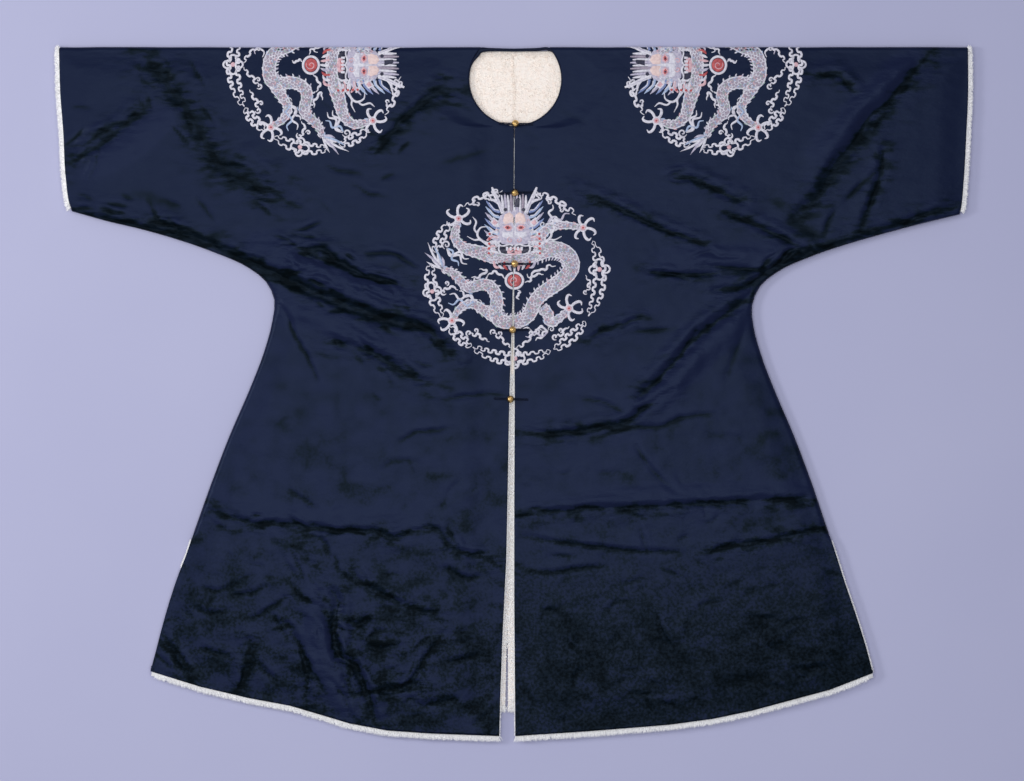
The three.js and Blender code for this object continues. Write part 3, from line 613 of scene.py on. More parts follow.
def gilt_look():
    k = Look("gilt", (.86, .56, .20), .24, Metallic=1.0)
    k.color_by(k.noise(420, 3), (.3, (.55, .30, .08)), (.6, (.90, .62, .25)))
    k.drive("Roughness", k.remap(k.noise(700, 3), 0, 1, .16, .4))
    k.bump((k.noise(1500, 3), .25, .0002))
    return k.material


def floor_look():
    k = Look("pale_floor", (.46, .47, .66), .9, Specular_IOR_Level=.1)
    k.color_by(k.noise(2.2, 3), (.2, (.445, .455, .64)), (.8, (.475, .485, .665)))
    k.bump((k.noise(300, 3), .04, .0004))
    return k.material


# Each satin: its own colour, then painted shade for its dark ground and, darkest, for its creases, then a
# painted highlight for its ridges.
SATIN = satin_look("satin", (.0042, .0075, .026), (.0016, .0048, .0092), (.0005, .0018, .0022),
                   (.0068, .0105, .036))
ROLLED = satin_look("rolled_satin", (.005, .007, .019), (.003, .005, .013), (.002, .004, .009),
                    (.008, .011, .028))
FUR = fur_look("white_fleece", (1, 1, .995), (.96, .955, .95))
CREAM = fur_look("cream_fleece", (1, .93, .85), (1, .89, .80))
GILT = gilt_look()
THREADS = {
    "white": ((.81, .80, .87), (.58, .56, .66)),
    "lavender": ((.60, .56, .68), (.38, .36, .50)),
    "pink": ((.80, .52, .56), (.56, .32, .38)),
    "red": ((.58, .10, .10), (.34, .05, .06)),
    "blue": ((.26, .33, .58), (.14, .19, .40)),
    "sky": ((.48, .58, .78), (.30, .40, .60)),
    "green": ((.42, .54, .50), (.26, .36, .34)),
    "body": ((.42, .36, .44), (.28, .24, .32)),
    "flesh": ((.90, .70, .66), (.74, .54, .52)),
    "dark": ((.02, .022, .06), (.01, .012, .03)),
}
PALETTE = [thread_look("thread_" + name, *colors) for name, colors in THREADS.items()]
WHITE, LAVENDER, PINK, RED, BLUE, SKY, GREEN, BODY, FLESH, DARK = range(len(PALETTE))


# ---- Satin ----------------------------------------------------------------------------------------------
# How the cloth turns in at the centre line and at an open or a sewn outer edge: how far in from the edge each
# point lies, and how far it has dropped.
IN_INSET = np.array([3, .6, 0, .1, .5, 1.2, 2.5])
IN_DROP = np.array([-1.5, -1.45, -.85, -.45, -.15, 0, 0])
OPEN_INSET = np.array([6, 3.5, 2, 1.2, .6, .2, 0, .5, 3])
OPEN_DROP = np.array([0, 0, 0, -.05, -.2, -.45, -.8, -1.45, -1.5])
TURN = np.radians([90, 75, 60, 45, 32, 20, 10, 4, 0])
SEAM_INSET = 9 * (1 - np.cos(TURN))
COLUMNS = 170
UNTURNED = np.zeros(len(IN_DROP) + COLUMNS - 2)
EDGE_DROP = np.r_[IN_DROP, np.zeros(COLUMNS - 2), OPEN_DROP]


def rib_grid(x0, d0, x1, d1, closed):
    """Shares of the way across for each line, with the points of the turned edges at both ends."""
    length = np.hypot(x1 - x0, d1 - d0)[:, None]
    last = mix(OPEN_INSET[None], SEAM_INSET[None], closed[:, None])
    first = IN_INSET[None] / length
    inner = mix(first[:, -1:], 1 - last[:, :1] / length, np.linspace(0, 1, COLUMNS)[None, 1:-1])
    return np.hstack([first, inner, 1 - last / length]), length


def places_every(sign, step, face):
    """Places along the edge table with lines about one step apart at both their ends."""
    table = EDGE[sign]
    out = [np.array([0.])]
    for i in range(len(table) - 1):
        at_edge = np.hypot(*(table[i + 1, :2] - table[i, :2]))
        at_centre = abs(table[i + 1, 2] - table[i, 2])
        round_neck = 60 if face == "front" and i < NECK_ROW else 0
        n = max(1, int(round(max(at_edge, at_centre, round_neck) / step)))
        out.append(i + np.arange(1, n + 1) / n)
    return np.concatenate(out)


def cloth_rows(sign, face, step):
    """x, down and z of one face's cloth, a row for each line across it."""
    lines = lines_across(sign, places_every(sign, step, face), face)
    closed = lines[5][:, None]
    share, length = rib_grid(*lines[:4], lines[5])
    x, down = spread(sign, face, lines, share)
    order = np.argsort(x[-1])
    d_hem = np.maximum(0, np.interp(x, x[-1][order], down[-1][order]) - down)
    d_in, d_out = share * length, (1 - share) * length
    if face == "front":
        places = (a.ravel() for a in (x, down, d_in, d_out, d_hem))
        flat = TOP - .35 + front_lift(*places).reshape(x.shape)
        meet, up = MEET + .15, 1
    else:
        free = smooth(d_out / 30) * smooth(d_in / 20) * smooth(d_hem / 25) * smooth((down - 10) / 20)
        wave = np.maximum(0, lumps(x, down * 1.6, 60, 11)) + np.maximum(0, lumps(x * .5, down, 26, 12)) * .5
        pressed = -.3 * crease_height(-x.ravel(), down.ravel()).reshape(x.shape)
        flat = BACK_Z + free * np.clip(wave + pressed, 0, 1.4)
        meet, up = MEET - .15, -1
    rounded = np.r_[UNTURNED, np.cos(TURN)] * closed
    outer = np.arange(x.shape[1]) > 50
    z = flat + up * EDGE_DROP * (1 - rounded * (EDGE_DROP < 0) * outer)
    seam = meet + (flat - meet) * np.sin(np.r_[UNTURNED, TURN])
    return x, down, np.where(rounded > 0, mix(z, seam, closed), z)


def turned_hem(x, down, z, up):
    """Rows that turn the hem under, from the last row outwards."""
    rows = [(x, down - inset, z + up * drop)
            for inset, drop in ((.6, 0), (0, -.5), (0, -1.0), (.8, -1.5), (5, -1.5))]
    return [np.stack(r) for r in zip(*rows)]


def fold_lumps(x, angle):
    return .5 * lumps(x, np.full_like(x, angle * 8), 55, 21) * smooth((SLEEVE_END - np.abs(x)) / 40)


def fold_rows(sign):
    """Rows over the shoulder, from the front round to the back."""
    rows = []
    for angle in np.radians(np.arange(78, -79, -13)):
        start = neck_x(sign, FOLD_R * (1 - math.cos(angle)) if angle > 0 else 0)
        x0, x1, level = np.array([float(start)]), np.array([sign * SLEEVE_END]), np.zeros(1)
        share, _ = rib_grid(x0, level, x1, level, level)
        x = mix(x0, x1, share)[0]
        r = FOLD_R + EDGE_DROP + fold_lumps(x, angle)
        rows.append((x, FOLD_R - r * math.cos(angle), FOLD_Z + r * math.sin(angle)))
    return [np.stack(r) for r in zip(*rows)]


def shade(sign, x, down):
    """The painted shade and sheen of one half's satin, below 0 where it is painted dark: its rippled skirt,
    the left half's sleeve and the right half's upper part."""
    # Painted sheen in pale and dark ripples, and painted shade in broad dark patches.
    ripple = (lumps(x, down * 1.6, 34, 15) + .7 * lumps(x * 1.2, down, 15, 16)) * 1.1
    dim = -1.2 * smooth((down - 780 + 50 * ripple) / 230) * (1 if sign > 0 else .6)
    if sign > 0:
        ripple *= mix(1, .5, smooth((down - 700) / 200))
        dim -= .25 * smooth((abs(x) - 300) / 150)
    else:
        dim -= .2 * smooth((420 - down) / 100)
    return ripple * smooth((down - 150) / 700) + dim


def satin_half(sign):
    """One half of the coat, from the front hem over the shoulder to the back hem. Its mesh keeps the painted
    shade and highlight of each place and how rumpled it is, for the satin's colour."""
    front, back = cloth_rows(sign, "front", 3.9), cloth_rows(sign, "back", 16)
    front_hem = turned_hem(*(a[-1] for a in front), 1)
    back_hem = turned_hem(*(a[-1] for a in back), -1)
    x, down, z = (np.vstack([a[::-1], b[::-1], c, d, e])
                  for a, b, c, d, e in zip(front_hem, front, fold_rows(sign), back, back_hem))
    faces = grid_faces(*x.shape, flip=sign < 0)
    o = mesh(f"satin_{SIDES[sign]}_half", flat_points(x, down, z), faces, [SATIN])
    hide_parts(f"satin_{SIDES[sign]}")
    x, down, on_front = x.ravel(), down.ravel(), z.ravel() > MEET
    front_x = np.where(on_front, x, -x)  # the back has the creases of the other half's front
    # Painted shade and highlight: that of the creases and that of the broad ground.
    pale = crease_height(front_x, down, painted_shade=True) + shade(sign, x, down)
    for name, value in (("crease", pale), ("crumple", crumple(front_x, down))):
        o.data.attributes.new(name, "FLOAT", "POINT").data.foreach_set("value", value.astype(np.float32))
    return o


halves = [satin_half(sign) for sign in SIDES]
trees = [BVHTree.FromPolygons([v.co for v in o.data.vertices], [p.vertices for p in o.data.polygons])
         for o in halves]


EMPTY_FRONT = 13.6  # height taken where the front has no cloth
FRONT_ABOVE, BACK_BELOW = 8.5, 6.0  # the front cloth lies above the one, the back cloth below the other


def satin_heights(x, down, way):
    """Heights in mm at which the halves are first met at a place, looking up (way 1) or down (way -1)."""
    start = Vector((x / 1000, (ORIGIN_DOWN - down) / 1000, -.1 * way))
    places = [tree.ray_cast(start, Vector((0, 0, way)), .2)[0] for tree in trees]
    return [place.z * 1000 for place in places if place is not None]


def front_z(x, down):
    return max([z for z in satin_heights(x, down, -1) if z > FRONT_ABOVE], default=EMPTY_FRONT)


def back_z(x, down):
    return min([z for z in satin_heights(x, down, 1) if z < BACK_BELOW], default=BACK_Z)


# ---- Fleece ---------------------------------------------------------------------------------------------
# Of each layer of fleece: its underside, and the heights between which its wool starts.
LAYERS = {"front": (7.4, 8.0, 11.6), "back": (2.2, 2.6, 6.6)}


def fleece_slab(sign, face):
    """The pressed fleece of one panel: lumpy, with a rounded edge. It reaches past the cuff and the hem, and
    stays inside the seams."""
    places = places_every(sign, 16, face)
    underside, hem = (places > CUFF_ROW - 1) & (places < ARM_ROW), places > HEM_ROW - .1
    vent = (places > VENT_ROW + .5) & (sign < 0)
    cuff, side = places <= CUFF_ROW - 1, places >= VENT_ROW
    out_by = np.select([cuff, underside, vent, side], [5., -5., -1., 1.], -10.)
    down_by = np.select([underside, hem], [-9., 7.6], 0.)
    lines = list(lines_across(sign, places, face, out_by, down_by, 2.5 if face == "front" else 0))
    lines[1] = lines[1] + 5 * smooth((lines[3] - 985) / 40)
    x, down = spread(sign, face, lines, np.r_[0, .0012, np.linspace(.014, 1, 62)][None])
    rim = np.zeros(x.shape)  # 0 where the edge is rounded off
    rim[1:-1, (1 if face == "front" else 0):-1] = 1
    low = LAYERS[face][0]
    bump = .35 * lumps(x, down, 7, 31) + .25 * lumps(x, down, 3, 32)
    top, bottom = low + mix(3.2, 4.2, rim) + bump, low + mix(1.2, .1, rim)
    n, m = x.shape
    points = np.vstack([flat_points(x, down, top), flat_points(x, down, bottom)])
    faces = np.vstack([grid_faces(n, m, sign < 0), grid_faces(n, m, sign > 0) + n * m]).tolist()
    index = np.arange(n * m).reshape(n, m)
    ring = np.r_[index[0], index[1:, -1], index[-1, -2::-1], index[-2:0:-1, 0]]
    for a, b in zip(ring, np.roll(ring, -1)):
        faces.append([b, a, a + n * m, b + n * m] if sign > 0 else [a, b, b + n * m, a + n * m])
    half = SIDES[sign]
    o = mesh(f"fleece_{face}_{half}_pelt", points, faces, [CREAM if face == "back" else FUR])
    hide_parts(f"fleece_{face}_{half}")


LOCK_WIDTH = .42


def locks(name, roots, ways, lengths, width, look, seed, curl=.5):
    """Short curved locks of wool, each a tapering blade of four rows that ends in a point."""
    r = np.random.RandomState(seed)
    n = len(roots)
    ways = ways / np.linalg.norm(ways, axis=1)[:, None]
    side = np.cross(ways, r.normal(0, .4, (n, 3)) + [0, 0, 1.5])
    side /= np.linalg.norm(side, axis=1)[:, None]
    bend = np.cross(side, ways) * r.uniform(-1, 1, (n, 1)) * curl
    points = []
    for t, taper in ((0, 1), (.35, .85), (.7, .55), (1, 0)):
        at = roots + lengths[:, None] * (ways * t + bend * t * t)
        w = width * taper
        points += [at - side * w, at + side * w] if w else [at]
    each = len(points)
    p = np.stack(points, 1).reshape(-1, 3)
    ceiling = np.where(roots[:, 2] < 7, 12, 30)  # what starts under a front panel stays under it
    p[:, 2] = np.clip(p[:, 2], .4, np.repeat(ceiling, each))
    base = np.arange(n)[:, None] * each
    faces = np.vstack([base + [0, 1, 3, 2], base + [2, 3, 5, 4]]).tolist() + (base + [4, 5, 6]).tolist()
    mesh(name, p, faces, [look])


def edge_line(sign, first, last, face):
    """Points and outward directions along the outer edge between two places."""
    _, _, x1, d1, _, _ = lines_across(sign, np.linspace(first, last, 400), face)
    line = spline(np.stack([x1, d1], 1)[::8], .6)
    outward = -ways_along(line)[1]
    return line, outward * np.sign(outward[:, :1] * sign + 1e-9)


def hem_line(sign, face):
    """Points and outward directions along the hem."""
    hem = lines_across(sign, np.array([float(HEM_ROW)]), face)
    x, down = spread(sign, face, hem, np.linspace(0, 1, 120)[None])
    line = spline(np.stack([x[0], down[0]], 1)[::3], .6)
    return line, np.tile([0., 1.], (len(line), 1))


def fringe(name, edge, heights, reach, per, seed, inset=3.0):
    """Locks that stand out past an open edge and start between two heights: how far out they reach, how many
    there are for each point of the edge, and how far inside it they start at most."""
    line, outward = edge
    r = np.random.RandomState(seed)
    pick = r.randint(0, len(line), int(len(line) * per))
    p, way = line[pick], outward[pick]
    n = len(pick)
    z = r.uniform(*heights, n)
    back = r.uniform(-inset, reach * .45, n)[:, None]
    along = np.stack([-way[:, 1], way[:, 0]], 1) * r.normal(0, .45, (n, 1))
    roots = np.column_stack([p + way * back, z])
    ways = np.column_stack([way + along, r.normal(0, .28, n)])
    lengths = np.maximum(1.2, (reach - back[:, 0]) * r.uniform(.6, 1.0, n))
    locks(name, roots, ways, lengths, LOCK_WIDTH, FUR, seed + 1)


def edge_fur(sign):
    """The fur at every open edge of one half."""
    side = SIDES[sign]
    vent_end = HEM_ROW if sign > 0 else VENT_ROW + .6
    for face, (_, *heights) in LAYERS.items():
        cuff, vent = edge_line(sign, .02, CUFF_ROW - .4, face), edge_line(sign, VENT_ROW - .9, vent_end, face)
        fringe(f"cuff_fur_{face}_{side}", cuff, heights, reach=10.2, per=4.2, seed=40 + sign)
        fringe(f"vent_fur_{face}_{side}", vent, heights, reach=3.2, per=2.2, seed=50 + sign)
        fringe(f"hem_fur_{face}_{side}", hem_line(sign, face), heights, reach=12.2, per=4.6, seed=60 + sign)
    turn = np.radians(np.linspace(-80, 80, 60))
    fold = np.stack([np.full(60, sign * (SLEEVE_END - 1)), FOLD_R - 4.5 * np.cos(turn)], 1)
    outward = np.tile([float(sign), -.12], (60, 1))
    fringe(f"cuff_fur_fold_{side}", (fold, outward), (4.0, 11.0), reach=9.5, per=6, seed=80 + sign)
    down = np.arange(150, 1136, .8)
    line = np.stack([np.interp(down, *FRONT[sign]), down], 1)
    inward = np.tile([-float(sign), 0.], (len(line), 1))
    fringe(f"front_fur_{side}", (line, inward), (9.6, 12.6), reach=2.6, per=3.2, seed=70 + sign, inset=1.5)


def neck_wool(r):
    """The back lining in the neck hole, with more wool along its seam."""
    n = 9000
    angle, radius = r.uniform(0, 2 * np.pi, n), (NECK_R - 1) * np.sqrt(r.uniform(0, 1, n))
    x, down = NECK_X + radius * np.cos(angle), NECK_DOWN + radius * np.sin(angle)
    x[::11] = r.normal(0, .9, len(x[::11]))
    keep = (down > 7.5) & (down < 130)
    x, down = x[keep], down[keep]
    n = len(x)
    swirl = lumps(x, down, 26, 91) * 3 + 1.2
    ways = np.column_stack([np.cos(swirl) + r.normal(0, .5, n), np.sin(swirl) + r.normal(0, .5, n),
                            r.uniform(.05, .4, n)])
    roots = np.column_stack([x, down, np.full(n, 6.2)])
    locks("neck_lining_wool", roots, ways, r.uniform(2.2, 4.2, n), .5, CREAM, 92, 1.0)


def opening_wool(r):
    """The back lining between the front edges, with the back vent left free."""
    n = 9500
    down = r.uniform(540, 1096, n)
    left, right = np.interp(down, *FRONT[-1]) - 2, np.interp(down, *FRONT[1]) + 2
    x = mix(left, right, r.uniform(0, 1, n))
    seam, gap = (np.interp(down, CENTRE_BACK[0], column) for column in CENTRE_BACK[1:])
    keep = (abs(x - seam) > gap + .4) | (down < 990)
    x, down = x[keep], down[keep]
    n = len(x)
    ways = np.column_stack([r.normal(0, .7, n), r.normal(.3, .6, n), r.uniform(.1, .5, n)])
    roots = np.column_stack([x, down, r.uniform(6.0, 9.2, n)])
    locks("opening_lining_wool", roots, ways, r.uniform(2, 3.8, n), .5, FUR, 93, .8)


for sign in SIDES:
    for face in LAYERS:
        fleece_slab(sign, face)
for sign in SIDES:
    edge_fur(sign)
wool = np.random.RandomState(90)
neck_wool(wool)
opening_wool(wool)


# ---- Rolled edges, cords and buttons --------------------------------------------------------------------
def tube_faces(rings, sides, closed=False):
    """The quads between rings of points, each from this ring to the next."""
    i, j = np.arange(rings if closed else rings - 1)[:, None], np.arange(sides)
    here, ahead, beside = i * sides, (i + 1) % rings * sides, (j + 1) % sides
    return np.stack([here + j, here + beside, ahead + beside, ahead + j], 2).reshape(-1, 4)


def sweep(path, half_width, half_height, sides=10):
    """Points and faces of a rounded section swept along a path of points (x, down, z)."""
    p = np.asarray(path, float)
    n = len(p)
    across = np.column_stack([ways_along(p[:, :2])[1], np.zeros(n)])
    turn = np.linspace(0, 2 * np.pi, sides, endpoint=False)
    size = np.ones(n)
    size[[0, -1]] = .05
    size[[1, -2]] = .8
    ring = (np.cos(turn)[None, :, None] * across[:, None, :] * half_width
            + np.sin(turn)[None, :, None] * np.array([0, 0, 1.]) * half_height) * size[:, None, None]
    ends = [list(range(sides)), list(range(n * sides - 1, (n - 1) * sides - 1, -1))]
    return (p[:, None, :] + ring).reshape(-1, 3), tube_faces(n, sides)[:, ::-1].tolist() + ends


class Heap:
    """Points and faces gathered into one piece."""

    def __init__(self):
        self.points, self.faces, self.which, self.uv, self.count = [], [], [], [], 0

    def add(self, points, faces, which=0, uv=None):
        self.points.append(np.asarray(points, float))
        self.faces += [[i + self.count for i in f] for f in faces]
        self.which += [which] * len(faces)
        self.uv.append(uv)
        self.count += len(points)

    def piece(self, name, look, stands_for):
        o = mesh(name, np.vstack(self.points), self.faces, [look])
        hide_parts(stands_for)


def neck_roll():
    """The satin roll round the neck hole: along the fronts' curve, then straight across the back."""
    r, back = NECK_R - .7, 3.4
    turn = np.linspace(.05, math.pi - math.acos((NECK_DOWN - back) / r), 60)
    arc = np.stack([NECK_X + r * np.sin(turn), NECK_DOWN + r * np.cos(turn)], 1)
    other = arc[::-1] * [-1, 1] + [2 * NECK_X, 0]
    bar = np.stack([np.linspace(arc[-1, 0], other[0, 0], 26)[1:-1], np.full(24, back)], 1)
    flat = spline(np.vstack([arc, bar, other])[::3], 1.6)
    x, down = flat.T
    z = 11.0 + .25 * lumps(x, down, 14, 55) + .12 * np.sin(np.arange(len(flat)) * 1.1)
    across = smooth((8 - down) / 4)
    dip = 1.2 * np.exp(-(x / 34) ** 2) - 1.0 * np.exp(-((x - 52) / 9) ** 2)
    corner = np.exp(-((x + 60) ** 2 + (down - 8) ** 2) / 15**2)
    path = np.column_stack([x + 2.2 * corner, down + across * (.3 + dip) + 1.6 * corner, z])
    heap = Heap()
    heap.add(*sweep(path, (mix(1.25, 2.6, across) + 2.2 * corner)[:, None, None], 3.1, 12))
    heap.piece("neck_roll", ROLLED, "neck_binding")


neck_roll()

BUTTON_DOWN = (127, 241, 358, 467, 581)
BUTTON_TILT = (-.02, .03, 0, .02, -.03)  # of the cords across the front
BALL_Z, BALL_R = 22.9, 5.55
SHANK_Z, SHANK_R = 16.3, .38
CORD_R, CORD_OFF = .95, 1.05  # a run of a doubled cord: its radius, and how far it lies off the middle
CORD_FLOOR = 14.4


def cord_z(x, down):
    """Height of the cloth under a cord."""
    return max(CORD_FLOOR, front_z(x, down))


def twisted(flat, heap):
    """A round cord of two strands laid together, along flat points on the cloth."""
    p = np.column_stack([flat, [cord_z(*place) + CORD_R for place in flat]])
    s = np.r_[0, np.cumsum(np.linalg.norm(np.diff(p, axis=0), axis=1))]
    across = np.column_stack([ways_along(flat)[1], np.zeros(len(p))])
    for phase in (0, np.pi):
        a = s / 2.6 * 2 * np.pi / 2 + phase
        strand = p + across * (np.cos(a) * .42)[:, None] + np.array([0, 0, 1.]) * (np.sin(a) * .42)[:, None]
        heap.add(*sweep(strand, .62, .62, 7))


def bands(x, down, side, tilt, distances, heap):
    """Stitched bands that hold the two runs of a cord, at distances from the button."""
    reach, half_width, height = np.linspace(-2.3, 2.3, 9), 2.4, 1.55
    for at in distances:
        flat = np.column_stack([np.full(9, x + side * at), down - side * tilt * at + reach])
        z = [cord_z(px, pd) + .55
             + height * math.sqrt(max(0, 1 - ((pd - down + side * tilt * at) / half_width) ** 2))
             for px, pd in flat]
        heap.add(*sweep(np.column_stack([flat, z]), .5, .45, 6))


def tail(n, x, down, tilt):
    """The doubled cord that holds a button, on the wearer's right."""
    heap = Heap()
    a = np.linspace(4.4, 27, 24)
    for y in (-CORD_OFF, CORD_OFF):
        twisted(np.column_stack([x - a, down + y * (1 + .12 * np.sin(a * .4)) + tilt * a]), heap)
    bands(x, down, -1, tilt, (5.6, 12.5, 19.5, 26.6), heap)
    heap.piece(f"button_tail_{n}", ROLLED, f"tail_{n}")


def loop(n, x, down, tilt):
    """The cord that takes a button, doubled round an eye, on the wearer's left."""
    heap = Heap()
    turn = np.linspace(-2.6, 2.6, 18) + np.pi
    eye = np.column_stack([x + 2.75 * np.cos(turn), down + 2.75 * np.sin(turn)])
    a = np.linspace(29, 5, 22)
    above, below = (np.column_stack([x + a, down + y * (1 + .1 * np.sin(a * .5)) - tilt * a])
                    for y in (CORD_OFF, -CORD_OFF))
    twisted(spline(np.vstack([above, eye, below[::-1]]), .9), heap)
    bands(x, down, 1, tilt, (6.2, 13.5, 21, 28.4), heap)
    heap.piece(f"button_loop_{n}", ROLLED, f"loop_{n}")


def ball_radius(u, v, turned):
    """The chased ball's radius, u down from its top and v round it: lobes, collar, grooves and boss."""
    lobes = .26 * abs(math.cos(4 * v + turned)) * math.sin(u) ** 2
    collar = .22 * math.exp(-((u - math.pi * .5) / .09) ** 2)
    groove = -.22 * math.exp(-((abs(u - math.pi * .5) - .2) / .06) ** 2)
    boss = .35 * math.exp(-(u / .28) ** 2) - .3 * math.exp(-((u - .42) / .09) ** 2)
    return BALL_R + lobes + collar + groove + boss


def button(n, x, down):
    """A gilt ball and the wire shank below it."""
    heap = Heap()
    rows, sides = 40, 48
    ball = []
    for u in (math.pi * i / rows for i in range(rows + 1)):
        for v in (2 * math.pi * j / sides for j in range(sides)):
            r = ball_radius(u, v, .6 * n)
            ball.append((x + r * math.sin(u) * math.cos(v), down + r * math.sin(u) * math.sin(v),
                         BALL_Z + r * math.cos(u)))
    heap.add(ball, tube_faces(rows + 1, sides)[:, [0, 3, 2, 1]])
    rows, sides = 21, 6
    shank = []
    for t in np.linspace(0, 2 * np.pi, rows + 1)[:-1]:
        for b in (2 * math.pi * j / sides for j in range(sides)):
            r = 1 + SHANK_R * math.cos(b) / 1.35
            shank.append((x + SHANK_R * math.sin(b), down + 1.35 * math.cos(t) * r,
                          SHANK_Z + 1.5 * math.sin(t) * r))
    heap.add(shank, tube_faces(rows, sides, closed=True))
    heap.piece(f"ball_button_{n}", GILT, f"button_{n}")


for n, (down, tilt) in enumerate(zip(BUTTON_DOWN, BUTTON_TILT), 1):
    x = float(np.interp(down, *FRONT[-1])) + 2
    tail(n, x, down, tilt)
    loop(n, x, down, tilt)
    button(n, x, down)


# ---- Embroidery -----------------------------------------------------------------------------------------
# One roundel is worked flat, in mm from its middle with y towards the neck, and then laid on the coat four
# times. Its motif is the traditional one for such coats: a front-facing five-clawed dragon round a flaming
# pearl, inside a ring of clouds.
def on_circle(x, y, radius, turns, squash=1.0):
    return np.stack([x + radius * np.cos(turns), y + radius * squash * np.sin(turns)], 1)


def strip_faces(rows, columns):
    """Quads between the rows of a strip worked along a line, with their front up."""
    i = np.arange(rows - 1)[:, None, None] * columns + np.arange(columns - 1)[None, :, None]
    return (i + np.array([0, columns, columns + 1, 1])).reshape(-1, 4)[:, ::-1].tolist()


class Needle(Heap):
    def stroke(self, points, width, color, lift=.7, ends=(.3, .3), step=2.2):
        """A raised line of stitches along a smooth curve, narrowing to a share of its width at its ends."""
        p = spline(points, step)
        n = len(p)
        normal = ways_along(p)[1]
        s = np.linspace(0, 1, n)
        first, last = (end + (1 - end) * share / .3 for end, share in zip(ends, (s, 1 - s)))
        half = (width / 2 * np.minimum(1, np.minimum(first, last)))[:, None]
        rows = [np.column_stack([p + normal * half * a, np.full(n, lift * b)])
                for a, b in ((-1, .05), (-.6, .9), (.6, .9), (1, .05))]
        uv = np.stack([np.column_stack([s * n * step, np.full(n, k * width / 3)]) for k in range(4)], 1)
        self.add(np.stack(rows, 1).reshape(-1, 3), strip_faces(n, 4), color, uv.reshape(-1, 2) / 1000)

    def dome(self, points, color, lift=.6, under=0.0):
        """A filled shape, padded so that it rises a little to its middle."""
        p = np.asarray(points, float)
        middle = p.mean(0)
        n = len(p)
        rings = [np.column_stack([mix(middle, p, k), np.full(n, under + lift * h)])
                 for k, h in ((1, 0), (.93, .75), (.55, 1))]
        points = np.vstack(rings + [[[*middle, under + lift * 1.05]]])
        j = np.arange(n)
        k = (j + 1) % n
        faces = np.vstack([np.stack([j + i, k + i, k + n + i, j + n + i], 1) for i in (0, n)])
        tips = np.stack([j + 2 * n, k + 2 * n, np.full(n, 3 * n)], 1)
        self.add(points, faces.tolist() + tips.tolist(), color, points[:, :2] / 1000)

    def disc(self, x, y, radius, color, lift=.6, under=0.0, squash=1.0):
        turns = np.linspace(0, 2 * np.pi, 16, endpoint=False)
        self.dome(on_circle(x, y, radius, turns, squash), color, lift, under)

    def curl(self, x, y, radius, start, turns, width, color, lift=.7):
        """A spiral from its middle outwards."""
        a = np.linspace(0, 1, int(10 * abs(turns)) + 4)
        points = on_circle(x, y, radius * (.16 + .84 * a), math.radians(start) + turns * 2 * np.pi * (a - 1))
        self.stroke(points, width, color, lift, (.7, .35), 1.5)

    def scaly(self, points, widths, fins=0):
        """A scaled body along a curve: ground, rows of scales, white edges, and fins on one side."""
        step = 2.0
        p = spline(points, step)
        n = len(p)
        w = np.interp(np.linspace(0, 1, n), np.linspace(0, 1, len(widths)), widths)
        t, normal = ways_along(p)
        place = lambda i, share: p[i] + normal[i] * (share * w[i] / 2)
        rows = [np.column_stack([p + normal * (w / 2 * a)[:, None], np.full(n, b)])
                for a, b in zip((-1, -.9, -.4, .4, .9, 1), (0, .25, .42, .42, .25, 0))]
        ground = np.stack(rows, 1).reshape(-1, 3)
        self.add(ground, strip_faces(n, 6), BODY, ground[:, :2] / 1000)
        size, at, odd = 5.4, 1.0, 0
        while at < (n - 3) * step:
            k = int(at / step)
            count = max(2, int(round(w[k] / 6.6)))
            for c in range(count + odd):
                share = (2 * (c + .5 - .5 * odd) / count - 1) * .86
                if abs(share) > .92:
                    continue
                m, a, b = place(k, share), normal[k] * (w[k] / count / 2 * .95), t[k] * size
                scale = [m - a, m - a * .62 + b * .7, m + b, m + a * .62 + b * .7, m + a]
                tone = (WHITE, WHITE, PINK, WHITE, SKY, WHITE, GREEN)[(3 * c + int(at * 1.7)) % 7]
                self.stroke(scale, 1.9, tone, .78, (.7, .7), 2.0)
            at += size * .98
            odd = 1 - odd
        for side in (-1, 1):
            self.stroke([place(k, side) for k in range(0, n, 3)], 2.1, WHITE, .85, (.8, .5))
        if fins:
            for k in range(4, n - 4, 4):
                root = place(k, fins)
                tip = root + normal[k] * fins * (3.2 + w[k] * .12) - t[k] * 3.2
                self.stroke([root - t[k] * 1.2, (root + tip) / 2 + t[k] * .4, tip], 2.6,
                            LAVENDER if k % 8 else WHITE, .7, (1, .15), 1.6)

    def flames(self, root, tips, color):
        """Wavy tongues that leave one root, wide apart, in a colour and in white."""
        root = np.array(root, float)
        for n, tip in enumerate(tips):
            d = np.array(tip, float) - root
            off = np.array([-d[1], d[0]]) * .16 * (1 if n % 2 else -1)
            tongue = [root, root + d * .28 + off, root + d * .55 - off * .6, root + d * .8 + off * .5, tip]
            self.stroke(tongue, 3.6, (WHITE, color)[n % 2], .8, (.8, .35))

    def claw(self, x, y, toward, size=23):
        """Five hooked talons round a pink palm."""
        o = np.array([x, y])
        for n, spread_out in enumerate((-125, -62, -4, 60, 122)):
            turn = math.radians(toward + spread_out)
            u, v = np.array([math.cos(turn), math.sin(turn)]), np.array([-math.sin(turn), math.cos(turn)])
            v = v * (1 if n >= 2 else -1)
            reach = size * (.9 if n in (0, 4) else 1)
            talon = [o + u * 3, o + u * reach * .5 + v * 1.6, o + u * reach * .8 + v * .4,
                     o + u * reach * .97 - v * 3.4, o + u * reach * .86 - v * 8]
            self.stroke(talon, 4.5, WHITE, .9, (.95, .3), 1.6)
        for radius, color, lift, under in ((7, WHITE, .8, 0), (4.6, PINK, .5, .75), (1.8, RED, .3, 1.2)):
            self.disc(x, y, radius, color, lift, under)

